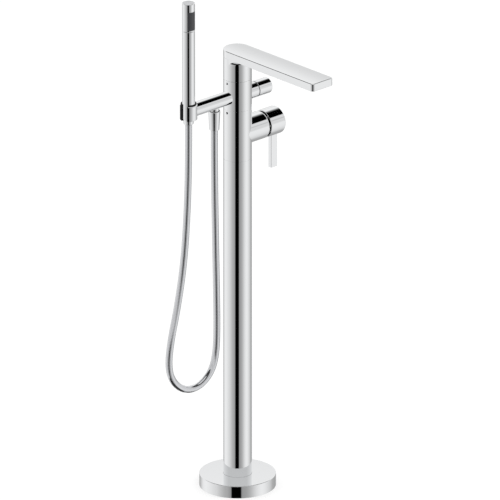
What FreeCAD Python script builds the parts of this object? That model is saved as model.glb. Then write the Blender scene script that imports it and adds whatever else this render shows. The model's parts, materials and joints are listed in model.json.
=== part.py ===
"""Floor standing bath filler: column, swivelling spout, lever mixer, diverter and lift-off hand shower.

Millimetres. +Z is up and the origin is on the floor, on the column's axis. The spout points to -Y,
the mixer and the diverter knob point to +X, and the hand shower's arm points to -X.
"""
import FreeCAD, Part
import math
import os

Vector = FreeCAD.Vector

# ---- driving dimensions -------------------------------------------------------------------------
# column and its modules, from the floor up
COLUMN_R = 28.0
COLUMN_WALL = 2.0
TUBE_TOP = 687.0
MIXER_MODULE_HEIGHT = 105.0
DIVERTER_MODULE_HEIGHT = 61.0
SPOUT_NECK_HEIGHT = 45.0
SEAM_CHAMFER = 0.35

# floor fixing
ROSETTE_R = 75.0
ROSETTE_HEIGHT = 25.0
ROSETTE_WALL = 2.0
ROSETTE_EDGE = 1.0
FLANGE_R = 64.0
FLANGE_THICK = 8.0
FOOT_HUB_TOP = 60.0
FLOOR_BOLT_PCD = 104.0
FLOOR_BOLT_HOLE_R = 4.5
FLOOR_BOLT_COUNT = 4
FOOT_SCREW_R = 2.5
FOOT_SCREW_COUNT = 3
FOOT_SCREW_HEIGHT = 15.0

# water supply
INLET_THREAD_R = 9.3
INLET_THREAD_DEPTH = 14.0
PIPE_R = 6.0
PIPE_WALL = 1.0
WATERWAY_R = 4.0
PORT_R = 3.0
FOOT_SOCKET_DEPTH = 38.0
MIXER_SOCKET_DEPTH = 26.0

# spigots that join one module to the next
LOWER_SPIGOT_LENGTH = 20.0
MIDDLE_SPIGOT_R = 20.0
MIDDLE_SPIGOT_LENGTH = 14.0
CHAMBER_WALL = 3.5
SPOUT_SPIGOT_R = 18.0
SPOUT_SPIGOT_LENGTH = 15.0
SWIVEL_HALF_ANGLE = 60.0
SET_SCREW_R = 2.1
SET_SCREW_BELOW_SEAM = 6.0
SET_SCREW_GRIP = 2.0
SET_SCREW_HEX = 2.0

# spout
SPOUT_REACH = 243.0
SPOUT_THICK = 16.0
SPOUT_CORNER_R = 2.5
SPOUT_EDGE_R = 1.0
SPOUT_BLEND_R = 10.0
SPOUT_CHANNEL_WIDTH = 36.0
SPOUT_CHANNEL_HEIGHT = 6.0
SPOUT_BORE_R = 11.0
AERATOR_R = 12.0
AERATOR_FROM_TIP = 19.0
AERATOR_DEPTH = 6.0
AERATOR_LIP = 1.8
HONEYCOMB_PITCH = 3.4
HONEYCOMB_WEB = 0.7
HONEYCOMB_RINGS = 2

# mixer sleeve, cartridge and handle
MIXER_AXIS_ABOVE_SEAM = 52.0
MIXER_R = 27.5
SLEEVE_REACH = 68.0
SLEEVE_EDGE_R = 4.0
CARTRIDGE_R = 17.5
CARTRIDGE_BACK = 8.0
CARTRIDGE_NUT_R = 21.0
CARTRIDGE_NUT_LENGTH = 8.0
CARTRIDGE_SHOULDER = 46.0
CARTRIDGE_DOME_R = 12.0
CARTRIDGE_DOME_END = 58.0
CARRIER_R = 10.0
CARRIER_BACK = 36.0
STEM_PIVOT = 43.0
STEM_WIDTH = 6.0
STEM_HEIGHT = 7.0
PIVOT_PIN_R = 1.5
HANDLE_GAP = 1.5
HANDLE_REACH = 104.0
HANDLE_WALL = 2.5
HANDLE_HOLLOW_DEPTH = 14.0
HANDLE_EDGE_R = 1.2
LEVER_WIDTH = 16.0
LEVER_THICK = 8.4
LEVER_DROP = 96.0
LEVER_EDGE_R = 0.8
LEVER_TENON_R = 3.5
LEVER_TENON_LENGTH = 9.0
LEVER_FROM_HANDLE_FRONT = 2.0
GRUB_SCREW_R = 2.5

# diverter
DIVERTER_AXIS_ABOVE_SEAM = 25.0
DIVERTER_R = 15.75
DIVERTER_NECK_REACH = 51.0
KNOB_GAP = 1.0
KNOB_REACH = 79.0
KNOB_WALL = 2.5
KNOB_EDGE_R = 1.0
DIVERTER_POCKET_R = 10.0
DIVERTER_POCKET_BACK = 2.0
DIVERTER_SPINDLE_R = 4.0

# hand shower arm, holder and water outlet
ARM_R = 13.75
ARM_BORE_R = 6.0
ARM_SPIGOT_R = 10.0
ARM_SPIGOT_LENGTH = 16.0
ARM_REACH = 130.0
OUTLET_REACH = 61.7
HOLDER_R = 17.0
HOLDER_HEIGHT = 30.0
HOLDER_DROP = 1.0
HOLDER_WALL = 2.5
HOLDER_EDGE_R = 0.6
HOLDER_SPIGOT_R = 8.0
HOLDER_SPIGOT_LENGTH = 12.0
HOLDER_SLOT_WIDTH = 23.2
LINER_WALL = 1.5
LINER_LIP = 1.2
LINER_LIP_WIDTH = 1.8

# hose ends
HOSE_R = 6.8
HOSE_BORE_R = 4.5
THREAD_R = 9.5
OUTLET_NUT_TOP_R = 11.75
OUTLET_NUT_BOTTOM_R = 9.85
OUTLET_NUT_LENGTH = 38.6
OUTLET_NUT_GAP = 3.4
HANDSET_NUT_TOP_R = 10.75
HANDSET_NUT_BOTTOM_R = 7.0
HANDSET_NUT_LENGTH = 12.0
NIPPLE_R = 7.5
NIPPLE_REACH = 6.5
WASHER_THICK = 1.5
CHECK_VALVE_R = 7.0
CHECK_VALVE_LENGTH = 12.0

# hand shower stick
HANDSET_R = 12.65
HANDSET_WALL = 1.8
HANDSET_LENGTH = 240.0
HANDSET_HEAD_LENGTH = 57.0
HANDSET_END_R = 0.8
HANDSET_CAP_R = 11.2
HANDSET_CAP_THICK = 2.0
SPRAY_PANEL_WIDTH = 19.0
SPRAY_PANEL_HEIGHT = 38.5
SPRAY_PANEL_BELOW_TOP = 16.0
SPRAY_PANEL_THICK = 1.6
SPRAY_PANEL_FLANGE = 0.5
SPRAY_PANEL_CORNER_R = 2.0
NOZZLE_R = 0.7
NOZZLE_HEIGHT = 0.5
NOZZLE_ROWS = 8
NOZZLE_COLUMNS = 3
NOZZLE_ROW_PITCH = 4.2
NOZZLE_ANGLE_PITCH = 22.0
HANDSET_PIPE_R = 6.0

# clearances
SLIP_FIT = 0.05
RUNNING_FIT = 0.05
SEAT_GAP = 0.1
ROSETTE_FIT = 0.3
HANDSET_FIT = 0.35
SEAL_THICK = 2.5
TRIM_FIT = 0.1

# ---- derived places -----------------------------------------------------------------------------
ORIGIN = Vector(0, 0, 0)
UP = Vector(0, 0, 1)
TO_SPOUT = Vector(0, -1, 0)
TO_MIXER = Vector(1, 0, 0)
TO_ARM = Vector(-1, 0, 0)
FULL_TURN = 360.0
FLOOR = 0.0

MIXER_TOP = TUBE_TOP + MIXER_MODULE_HEIGHT
DIVERTER_TOP = MIXER_TOP + DIVERTER_MODULE_HEIGHT
SPOUT_UNDERSIDE = DIVERTER_TOP + SPOUT_NECK_HEIGHT
SPOUT_TOP = SPOUT_UNDERSIDE + SPOUT_THICK
MIXER_AXIS_Z = TUBE_TOP + MIXER_AXIS_ABOVE_SEAM
ARM_Z = MIXER_TOP + DIVERTER_AXIS_ABOVE_SEAM
MIXER_AXIS = Vector(0, 0, MIXER_AXIS_Z)
ARM_AXIS = Vector(0, 0, ARM_Z)

TUBE_BORE_R = COLUMN_R - COLUMN_WALL
HUB_R = TUBE_BORE_R - SLIP_FIT
PIPE_OFFSET = HUB_R / 2
PIPE_SOCKET_R = PIPE_R + SLIP_FIT
MIXER_UNDERSIDE = TUBE_TOP - LOWER_SPIGOT_LENGTH
PIPE_BOTTOM = FOOT_HUB_TOP - FOOT_SOCKET_DEPTH
PIPE_TOP = MIXER_UNDERSIDE + MIXER_SOCKET_DEPTH

HANDLE_BACK = SLEEVE_REACH + HANDLE_GAP
HANDLE_FLOOR = HANDLE_BACK + HANDLE_HOLLOW_DEPTH
STEM_END = HANDLE_REACH - HANDLE_WALL * 3
LEVER_X = HANDLE_REACH - LEVER_FROM_HANDLE_FRONT - LEVER_WIDTH / 2
LEVER_BOTTOM_Z = MIXER_AXIS_Z - LEVER_DROP
KNOB_BACK = DIVERTER_NECK_REACH + KNOB_GAP
AERATOR_CENTRE_Y = -(SPOUT_REACH - AERATOR_FROM_TIP)

HOLDER_AXIS = Vector(-ARM_REACH, 0, 0)
HOLDER_BOTTOM = ARM_Z - HOLDER_HEIGHT / 2 - HOLDER_DROP
HOLDER_TOP = HOLDER_BOTTOM + HOLDER_HEIGHT
HOLDER_BORE_R = HOLDER_R - HOLDER_WALL
LINER_BORE_R = HANDSET_R + HANDSET_FIT
HANDSET_BOTTOM = HOLDER_BOTTOM + LINER_LIP + SEAT_GAP
HANDSET_TOP = HANDSET_BOTTOM + HANDSET_LENGTH
HEAD_BOTTOM = HANDSET_TOP - HANDSET_HEAD_LENGTH
PANEL_TOP = HANDSET_TOP - SPRAY_PANEL_BELOW_TOP
PANEL_MIDDLE = PANEL_TOP - SPRAY_PANEL_HEIGHT / 2
HANDSET_NUT_TOP = HANDSET_BOTTOM - SEAT_GAP
HANDSET_NUT_BOTTOM = HANDSET_NUT_TOP - HANDSET_NUT_LENGTH

OUTLET_AXIS = Vector(-OUTLET_REACH, 0, 0)
ARM_UNDERSIDE = ARM_Z - ARM_R
OUTLET_NUT_TOP = ARM_UNDERSIDE - OUTLET_NUT_GAP
OUTLET_NUT_BOTTOM = OUTLET_NUT_TOP - OUTLET_NUT_LENGTH

# The free hose hangs in the plane of the arm. (x, z) of its route between the two nuts.
HOSE_ROUTE_XZ = [
    (-ARM_REACH, 705), (-135, 605), (-147, 505), (-161, 415), (-176, 345), (-183, 291), (-169, 256), (-139, 233),
    (-101, 231), (-69, 249), (-51, 282), (-54, 336), (-57, 440), (-59.5, 570), (-OUTLET_REACH, 690),
]
ARC_SHARE = 0.48


# ---- shared builders ----------------------------------------------------------------------------
def corner_points(before, corner, after, radius):
    """Start, middle and end of an arc of this radius, tangent to both runs at a corner."""
    into = (before - corner).normalize()
    out = (after - corner).normalize()
    half_angle = into.getAngle(out) / 2
    setback = radius / math.tan(half_angle)
    bisector = (into + out).normalize()
    middle = corner + bisector * (radius / math.sin(half_angle) - radius)
    return corner + into * setback, middle, corner + out * setback


def rounded_edges(points, radii, closed):
    """Straight edges and tangent arcs through a list of points, with one radius for each point."""
    count = len(points)
    edges = []
    corners = []
    for index, (point, radius) in enumerate(zip(points, radii)):
        is_end = not closed and index in (0, count - 1)
        if is_end or radius == 0:
            corners.append((point, None, point))
        else:
            corners.append(corner_points(points[index - 1], point, points[(index + 1) % count], radius))
    last = count if closed else count - 1
    for index in range(last):
        start, middle, end = corners[index]
        if middle is not None:
            edges.append(Part.Arc(start, middle, end).toShape())
        following = corners[(index + 1) % count][0]
        if end.distanceToPoint(following) > 1e-6:
            edges.append(Part.LineSegment(end, following).toShape())
    return edges


def turned(outline, origin=ORIGIN, axis=UP):
    """Solid of revolution. The outline is a closed list of (radius, distance along the axis[, round])."""
    points = [Vector(corner[0], 0, corner[1]) for corner in outline]
    radii = [corner[2] if len(corner) > 2 else 0 for corner in outline]
    wire = Part.Wire(Part.__sortEdges__(rounded_edges(points, radii, closed=True)))
    solid = Part.Face(wire).revolve(ORIGIN, UP, FULL_TURN)
    solid.Placement = FreeCAD.Placement(origin, FreeCAD.Rotation(UP, axis))
    return solid


def rod(radius, start, end, origin=ORIGIN, axis=UP):
    """Cylinder along an axis, from one distance to another."""
    base = origin + axis * start
    return Part.makeCylinder(radius, end - start, base, axis)


def ring(outer, inner, start, end, origin=ORIGIN, axis=UP):
    """Plain tube along an axis, from one distance to another."""
    return rod(outer, start, end, origin, axis).cut(rod(inner, start, end, origin, axis))


def box(x_low, y_low, z_low, x_high, y_high, z_high):
    """Box between two corners."""
    return Part.makeBox(x_high - x_low, y_high - y_low, z_high - z_low, Vector(x_low, y_low, z_low))


def outline_face(points, radii):
    """Flat face bounded by straight runs and tangent arcs."""
    return Part.Face(Part.Wire(Part.__sortEdges__(rounded_edges(points, radii, closed=True))))


def hexagon_prism(across_flats, start, end, origin, axis):
    """Hexagonal prism along an axis."""
    corner_r = across_flats / 2 / math.cos(math.radians(30))
    corners = [
        Vector(corner_r * math.cos(math.radians(60 * side)), corner_r * math.sin(math.radians(60 * side)), start)
        for side in range(7)
    ]
    prism = Part.Face(Part.makePolygon(corners)).extrude(UP * (end - start))
    prism.Placement = FreeCAD.Placement(origin, FreeCAD.Rotation(UP, axis))
    return prism


def socket_screw(radius, head_at, tip_at, hexagon, origin, axis):
    """Headless screw with a hexagon socket. Distances grow along the axis from tip to head."""
    body = rod(radius, tip_at, head_at, origin, axis)
    socket_depth = min(radius, (head_at - tip_at) / 2)
    return body.cut(hexagon_prism(hexagon, head_at - socket_depth, head_at, origin, axis))


def fused(first, *others):
    """One solid out of several that overlap."""
    return first.fuse(list(others)).removeSplitter()


def around(count, first_angle=0.0):
    """Evenly spaced angles of a circular pattern, in degrees."""
    return [first_angle + FULL_TURN / count * index for index in range(count)]


# ---- floor fixing -------------------------------------------------------------------------------
def floor_rosette():
    bore = COLUMN_R + ROSETTE_FIT
    under_top = ROSETTE_HEIGHT - ROSETTE_WALL
    outline = [
        (ROSETTE_R, FLOOR),
        (ROSETTE_R, ROSETTE_HEIGHT, ROSETTE_EDGE),
        (bore, ROSETTE_HEIGHT),
        (bore, under_top),
        (ROSETTE_R - ROSETTE_WALL, under_top),
        (ROSETTE_R - ROSETTE_WALL, FLOOR),
    ]
    return turned(outline)


def rosette_seal():
    top = ROSETTE_HEIGHT - ROSETTE_WALL
    return ring(COLUMN_R + SEAL_THICK, COLUMN_R, top - SEAL_THICK, top)


def floor_foot():
    foot = turned([
        (0, FLOOR),
        (FLANGE_R, FLOOR),
        (FLANGE_R, FLANGE_THICK),
        (HUB_R, FLANGE_THICK),
        (HUB_R, FOOT_HUB_TOP),
        (0, FOOT_HUB_TOP),
    ])
    cuts = []
    for angle in around(FLOOR_BOLT_COUNT, first_angle=45.0):
        place = Vector(FLOOR_BOLT_PCD / 2, 0, 0)
        hole = rod(FLOOR_BOLT_HOLE_R, FLOOR, FLANGE_THICK, place)
        hole.rotate(ORIGIN, UP, angle)
        cuts.append(hole)
    for side in (-1, 1):
        place = Vector(0, side * PIPE_OFFSET, 0)
        cuts.append(rod(INLET_THREAD_R, FLOOR, INLET_THREAD_DEPTH, place))
        cuts.append(rod(WATERWAY_R, FLOOR, FOOT_HUB_TOP, place))
        cuts.append(rod(PIPE_SOCKET_R, PIPE_BOTTOM, FOOT_HUB_TOP, place))
        cuts.append(rod(PIPE_R + SEAL_THICK, FOOT_HUB_TOP - SEAL_THICK, FOOT_HUB_TOP, place))
    for angle in around(FOOT_SCREW_COUNT):
        hole = rod(FOOT_SCREW_R, HUB_R - SET_SCREW_GRIP * 2, HUB_R, Vector(0, 0, FOOT_SCREW_HEIGHT), TO_MIXER)
        hole.rotate(ORIGIN, UP, angle)
        cuts.append(hole)
    return foot.cut(cuts)


def foot_set_screws():
    screws = []
    for angle in around(FOOT_SCREW_COUNT):
        level = Vector(0, 0, FOOT_SCREW_HEIGHT)
        tip = HUB_R - SET_SCREW_GRIP * 2
        screw = socket_screw(FOOT_SCREW_R, COLUMN_R, tip, SET_SCREW_HEX, level, TO_MIXER)
        screw.rotate(ORIGIN, UP, angle)
        screws.append(screw)
    return Part.makeCompound(screws)


# ---- column and supply --------------------------------------------------------------------------
def column_tube():
    tube = turned([
        (COLUMN_R, FLANGE_THICK),
        (COLUMN_R, TUBE_TOP - SEAM_CHAMFER),
        (COLUMN_R - SEAM_CHAMFER, TUBE_TOP),
        (TUBE_BORE_R, TUBE_TOP),
        (TUBE_BORE_R, FLANGE_THICK),
    ])
    cuts = []
    for angle in around(FOOT_SCREW_COUNT):
        hole = rod(FOOT_SCREW_R, TUBE_BORE_R - COLUMN_WALL, COLUMN_R, Vector(0, 0, FOOT_SCREW_HEIGHT), TO_MIXER)
        hole.rotate(ORIGIN, UP, angle)
        cuts.append(hole)
    return tube.cut(cuts)


def supply_pipe(side):
    place = Vector(0, side * PIPE_OFFSET, 0)
    return ring(PIPE_R, PIPE_R - PIPE_WALL, PIPE_BOTTOM + SEAT_GAP, PIPE_TOP - SEAT_GAP, place)


def pipe_seals():
    seals = []
    for side in (-1, 1):
        place = Vector(0, side * PIPE_OFFSET, 0)
        for low in (FOOT_HUB_TOP - SEAL_THICK, MIXER_UNDERSIDE):
            seals.append(ring(PIPE_R + SEAL_THICK - SLIP_FIT, PIPE_R, low, low + SEAL_THICK, place))
    return Part.makeCompound(seals)


# ---- mixer module -------------------------------------------------------------------------------
def mixer_body():
    column = turned([
        (0, MIXER_UNDERSIDE),
        (HUB_R, MIXER_UNDERSIDE),
        (HUB_R, TUBE_TOP),
        (COLUMN_R - SEAM_CHAMFER, TUBE_TOP),
        (COLUMN_R, TUBE_TOP + SEAM_CHAMFER),
        (COLUMN_R, MIXER_TOP - SEAM_CHAMFER),
        (COLUMN_R - SEAM_CHAMFER, MIXER_TOP),
        (0, MIXER_TOP),
    ])
    sleeve_outline = [(0, 0), (MIXER_R, 0), (MIXER_R, SLEEVE_REACH, SLEEVE_EDGE_R), (0, SLEEVE_REACH)]
    sleeve = turned(sleeve_outline, MIXER_AXIS, TO_MIXER)
    casting = fused(column, sleeve)
    return casting.cut(mixer_pockets() + mixer_waterways())


def mixer_pockets():
    """The cartridge's stepped pocket, the socket for the next module and its set screw's hole."""
    socket_floor = MIXER_TOP - MIDDLE_SPIGOT_LENGTH
    screw_level = Vector(0, 0, MIXER_TOP - SET_SCREW_BELOW_SEAM)
    return [
        rod(CARTRIDGE_R + SLIP_FIT, CARTRIDGE_BACK, CARTRIDGE_SHOULDER, MIXER_AXIS, TO_MIXER),
        rod(CARTRIDGE_NUT_R + SLIP_FIT, CARTRIDGE_SHOULDER, SLEEVE_REACH, MIXER_AXIS, TO_MIXER),
        rod(MIDDLE_SPIGOT_R + SLIP_FIT, socket_floor, MIXER_TOP),
        rod(SET_SCREW_R, MIDDLE_SPIGOT_R - SET_SCREW_R, COLUMN_R, screw_level, TO_ARM),
    ]


def mixer_waterways():
    """Two inlets up from the pipes to the cartridge, and one outlet from it to the next module."""
    cuts = []
    port_inset = CARTRIDGE_R * 0.6
    for side in (-1, 1):
        place = Vector(0, side * PIPE_OFFSET, 0)
        cuts.append(rod(PIPE_R + SEAL_THICK, MIXER_UNDERSIDE, MIXER_UNDERSIDE + SEAL_THICK, place))
        cuts.append(rod(PIPE_SOCKET_R, MIXER_UNDERSIDE, PIPE_TOP, place))
        cuts.append(rod(WATERWAY_R, PIPE_TOP, MIXER_AXIS_Z, place))
        port = Vector(0, side * port_inset, MIXER_AXIS_Z - WATERWAY_R)
        cuts.append(rod(PORT_R, 0, CARTRIDGE_BACK, port, TO_MIXER))
    outlet_port = Vector(0, 0, MIXER_AXIS_Z + port_inset)
    cuts.append(rod(PORT_R, 0, CARTRIDGE_BACK, outlet_port, TO_MIXER))
    cuts.append(rod(WATERWAY_R, outlet_port.z, MIXER_TOP - MIDDLE_SPIGOT_LENGTH))
    return cuts


def cartridge_body():
    """Fixed casing of the mixing cartridge: a cup with an open nose for the carrier."""
    wall = LINER_WALL
    outline = [
        (CARTRIDGE_R, CARTRIDGE_BACK + SEAT_GAP),
        (CARTRIDGE_R, CARTRIDGE_SHOULDER),
        (CARTRIDGE_DOME_R, CARTRIDGE_SHOULDER),
        (CARTRIDGE_DOME_R, CARTRIDGE_DOME_END),
        (CARRIER_R + RUNNING_FIT, CARTRIDGE_DOME_END),
        (CARRIER_R + RUNNING_FIT, CARRIER_BACK),
        (CARTRIDGE_R - wall, CARRIER_BACK),
        (CARTRIDGE_R - wall, CARTRIDGE_BACK + SEAT_GAP),
    ]
    return turned(outline, MIXER_AXIS, TO_MIXER)


def cartridge_discs():
    """Ceramic valve discs that fill the cartridge behind the carrier."""
    disc_r = CARTRIDGE_R - LINER_WALL - SLIP_FIT
    return rod(disc_r, CARTRIDGE_BACK + SEAT_GAP, CARRIER_BACK - SEAT_GAP, MIXER_AXIS, TO_MIXER)


def cartridge_nut():
    """Threaded ring that clamps the cartridge's shoulder, with spanner slots in its face."""
    end = CARTRIDGE_SHOULDER + CARTRIDGE_NUT_LENGTH
    nut = ring(CARTRIDGE_NUT_R, CARTRIDGE_DOME_R + SLIP_FIT, CARTRIDGE_SHOULDER, end, MIXER_AXIS, TO_MIXER)
    slot_half = STEM_WIDTH / 4
    slot_floor = end - CARTRIDGE_NUT_LENGTH / 4
    slots = [
        box(slot_floor, -CARTRIDGE_NUT_R, MIXER_AXIS_Z - slot_half, end, CARTRIDGE_NUT_R, MIXER_AXIS_Z + slot_half),
        box(slot_floor, -slot_half, MIXER_AXIS_Z - CARTRIDGE_NUT_R, end, slot_half, MIXER_AXIS_Z + CARTRIDGE_NUT_R),
    ]
    return nut.cut(slots)


def cartridge_carrier():
    """Turns with the handle for temperature, and holds the stem's pivot pin in its slot."""
    carrier = rod(CARRIER_R, CARRIER_BACK, CARTRIDGE_DOME_END, MIXER_AXIS, TO_MIXER)
    slot_half = STEM_WIDTH / 2 + RUNNING_FIT
    slot_floor = CARRIER_BACK + LINER_WALL
    slot = box(
        slot_floor, -slot_half, MIXER_AXIS_Z - CARRIER_R,
        CARTRIDGE_DOME_END, slot_half, MIXER_AXIS_Z + CARRIER_R,
    )
    pin_hole = rod(PIVOT_PIN_R, -CARRIER_R, CARRIER_R, stem_pivot_point(), TO_SPOUT)
    return carrier.cut([slot, pin_hole])


def stem_pivot_point():
    return Vector(STEM_PIVOT, 0, MIXER_AXIS_Z)


def stem_pivot_pin():
    half = math.sqrt(CARRIER_R ** 2 - PIVOT_PIN_R ** 2)
    return rod(PIVOT_PIN_R, -half, half, stem_pivot_point(), TO_SPOUT)


def cartridge_stem():
    """Flat stem that tilts on the pin. Its rounded heel stays clear of the carrier's slot floor."""
    half_width = STEM_WIDTH / 2
    half_height = STEM_HEIGHT / 2
    blade = box(
        STEM_PIVOT, -half_width, MIXER_AXIS_Z - half_height,
        STEM_END, half_width, MIXER_AXIS_Z + half_height,
    )
    heel = rod(half_height, -half_width, half_width, stem_pivot_point(), TO_SPOUT)
    stem = fused(blade, heel)
    return stem.cut(rod(PIVOT_PIN_R + RUNNING_FIT, -STEM_WIDTH, STEM_WIDTH, stem_pivot_point(), TO_SPOUT))


def handle_cap():
    """Round cap, hollow where it covers the cartridge's nose and solid where it grips the stem."""
    outline = [
        (0, HANDLE_FLOOR),
        (MIXER_R - HANDLE_WALL, HANDLE_FLOOR),
        (MIXER_R - HANDLE_WALL, HANDLE_BACK),
        (MIXER_R, HANDLE_BACK, SEAM_CHAMFER),
        (MIXER_R, HANDLE_REACH, HANDLE_EDGE_R),
        (0, HANDLE_REACH),
    ]
    cap = turned(outline, MIXER_AXIS, TO_MIXER)
    half_width = STEM_WIDTH / 2 + SLIP_FIT
    half_height = STEM_HEIGHT / 2 + SLIP_FIT
    stem_socket = box(
        HANDLE_FLOOR, -half_width, MIXER_AXIS_Z - half_height,
        STEM_END + SEAT_GAP, half_width, MIXER_AXIS_Z + half_height,
    )
    lever_place = Vector(LEVER_X, 0, MIXER_AXIS_Z)
    tenon_hole = rod(LEVER_TENON_R, MIXER_R - LEVER_TENON_LENGTH, MIXER_R, lever_place, UP * -1)
    screw_hole = rod(GRUB_SCREW_R, STEM_WIDTH / 2, MIXER_R, lever_place, TO_SPOUT * -1)
    return cap.cut([stem_socket, tenon_hole, screw_hole])


def lever_bar():
    """Flat bar that hangs from the handle's rim, with a tenon up into it."""
    half_width = LEVER_WIDTH / 2
    half_thick = LEVER_THICK / 2
    bar = box(
        LEVER_X - half_width, -half_thick, LEVER_BOTTOM_Z,
        LEVER_X + half_width, half_thick, MIXER_AXIS_Z - MIXER_R / 2,
    )
    upright = [edge for edge in bar.Edges if abs(edge.tangentAt(edge.FirstParameter).z) > 0.5]
    bar = bar.makeFillet(LEVER_EDGE_R, upright)
    bottom = [edge for edge in bar.Edges if abs(edge.CenterOfMass.z - LEVER_BOTTOM_Z) < LEVER_EDGE_R / 2]
    bar = bar.makeFillet(LEVER_EDGE_R / 2, bottom)
    bar = bar.cut(rod(MIXER_R, HANDLE_BACK, HANDLE_REACH, MIXER_AXIS, TO_MIXER))
    lever_place = Vector(LEVER_X, 0, MIXER_AXIS_Z)
    tenon_start = MIXER_R - LEVER_TENON_LENGTH + SEAT_GAP
    tenon = rod(LEVER_TENON_R, tenon_start, MIXER_R + LEVER_TENON_R, lever_place, UP * -1)
    return fused(bar, tenon)


def handle_grub_screw():
    place = Vector(LEVER_X, 0, MIXER_AXIS_Z)
    head = MIXER_R - LINER_WALL * 2
    return socket_screw(GRUB_SCREW_R, head, STEM_WIDTH / 2, SET_SCREW_HEX, place, TO_SPOUT * -1)


def handle_plug():
    """Small plug that closes the grub screw's hole on the handle's hidden side, flush with the rim."""
    place = Vector(LEVER_X, 0, MIXER_AXIS_Z)
    plug = rod(GRUB_SCREW_R, MIXER_R - LINER_WALL * 2, MIXER_R, place, TO_SPOUT * -1)
    return plug.common(rod(MIXER_R, HANDLE_BACK, HANDLE_REACH, MIXER_AXIS, TO_MIXER))


# ---- diverter module ----------------------------------------------------------------------------
def diverter_body():
    spigot_bottom = MIXER_TOP - MIDDLE_SPIGOT_LENGTH + SEAT_GAP
    column = turned([
        (0, spigot_bottom),
        (MIDDLE_SPIGOT_R, spigot_bottom),
        (MIDDLE_SPIGOT_R, MIXER_TOP),
        (COLUMN_R - SEAM_CHAMFER, MIXER_TOP),
        (COLUMN_R, MIXER_TOP + SEAM_CHAMFER),
        (COLUMN_R, DIVERTER_TOP - SEAM_CHAMFER),
        (COLUMN_R - SEAM_CHAMFER, DIVERTER_TOP),
        (0, DIVERTER_TOP),
    ])
    neck_outline = [
        (0, 0),
        (DIVERTER_R, 0),
        (DIVERTER_R, DIVERTER_NECK_REACH, SEAM_CHAMFER),
        (0, DIVERTER_NECK_REACH),
    ]
    casting = fused(column, turned(neck_outline, ARM_AXIS, TO_MIXER))
    return casting.cut(diverter_pockets() + diverter_waterways(spigot_bottom))


def diverter_pockets():
    """Pocket of the diverter cartridge, sockets of the arm and the spout, and the screw holes."""
    upper_screw = Vector(0, 0, DIVERTER_TOP - SET_SCREW_BELOW_SEAM)
    lower_screw = Vector(0, 0, MIXER_TOP - SET_SCREW_BELOW_SEAM)
    return [
        rod(DIVERTER_POCKET_R + SLIP_FIT, DIVERTER_POCKET_BACK, DIVERTER_NECK_REACH, ARM_AXIS, TO_MIXER),
        rod(ARM_SPIGOT_R + SLIP_FIT, COLUMN_R - ARM_SPIGOT_LENGTH, COLUMN_R, ARM_AXIS, TO_ARM),
        rod(SPOUT_SPIGOT_R + RUNNING_FIT, DIVERTER_TOP - SPOUT_SPIGOT_LENGTH, DIVERTER_TOP),
        rod(SET_SCREW_R, SPOUT_SPIGOT_R - SET_SCREW_R, COLUMN_R, upper_screw, TO_ARM),
        rod(SET_SCREW_R, MIDDLE_SPIGOT_R - SET_SCREW_GRIP, COLUMN_R, lower_screw, TO_ARM),
    ]


def diverter_waterways(spigot_bottom):
    """In from the mixer below, out to the arm and up to the spout."""
    inlet = Vector(DIVERTER_POCKET_R, 0, 0)
    seal_level = spigot_bottom + SEAL_THICK
    groove = ring(
        MIDDLE_SPIGOT_R, MIDDLE_SPIGOT_R - SEAL_THICK / 2,
        seal_level, seal_level + SEAL_THICK / 2,
    )
    return [
        rod(MIDDLE_SPIGOT_R - CHAMBER_WALL, spigot_bottom, spigot_bottom + SEAL_THICK),
        rod(WATERWAY_R, spigot_bottom, ARM_Z, inlet),
        rod(WATERWAY_R, ARM_Z, DIVERTER_TOP - SPOUT_SPIGOT_LENGTH, inlet),
        rod(WATERWAY_R, -DIVERTER_POCKET_BACK, COLUMN_R - ARM_SPIGOT_LENGTH, ARM_AXIS, TO_ARM),
        groove,
    ]


def module_seal():
    """O-ring in the groove of the diverter module's spigot."""
    level = MIXER_TOP - MIDDLE_SPIGOT_LENGTH + SEAT_GAP + SEAL_THICK
    return ring(MIDDLE_SPIGOT_R, MIDDLE_SPIGOT_R - SEAL_THICK / 2, level, level + SEAL_THICK / 2)


def diverter_set_screw():
    level = Vector(0, 0, MIXER_TOP - SET_SCREW_BELOW_SEAM)
    tip = MIDDLE_SPIGOT_R - SET_SCREW_GRIP
    return socket_screw(SET_SCREW_R, COLUMN_R - SET_SCREW_R / 4, tip, SET_SCREW_HEX, level, TO_ARM)


def diverter_cartridge():
    outline = [
        (DIVERTER_POCKET_R, DIVERTER_POCKET_BACK + SEAT_GAP),
        (DIVERTER_POCKET_R, DIVERTER_NECK_REACH - KNOB_GAP),
        (DIVERTER_SPINDLE_R + RUNNING_FIT, DIVERTER_NECK_REACH - KNOB_GAP),
        (DIVERTER_SPINDLE_R + RUNNING_FIT, DIVERTER_POCKET_BACK + DIVERTER_POCKET_R),
        (DIVERTER_POCKET_R - LINER_WALL, DIVERTER_POCKET_BACK + DIVERTER_POCKET_R),
        (DIVERTER_POCKET_R - LINER_WALL, DIVERTER_POCKET_BACK + SEAT_GAP),
    ]
    return turned(outline, ARM_AXIS, TO_MIXER)


def diverter_spindle():
    """Turns in the cartridge. Its outer end has a flat where the knob's screw bears."""
    start = DIVERTER_POCKET_BACK + DIVERTER_POCKET_R
    end = KNOB_REACH - KNOB_WALL * 2
    spindle = rod(DIVERTER_SPINDLE_R, start, end, ARM_AXIS, TO_MIXER)
    flat_y = DIVERTER_SPINDLE_R * 0.75
    flat = box(
        KNOB_BACK, flat_y, ARM_Z - DIVERTER_SPINDLE_R,
        end, DIVERTER_SPINDLE_R, ARM_Z + DIVERTER_SPINDLE_R,
    )
    return spindle.cut(flat)


def knob_screw_place():
    return Vector((KNOB_BACK + KNOB_REACH) / 2, 0, ARM_Z)


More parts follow.
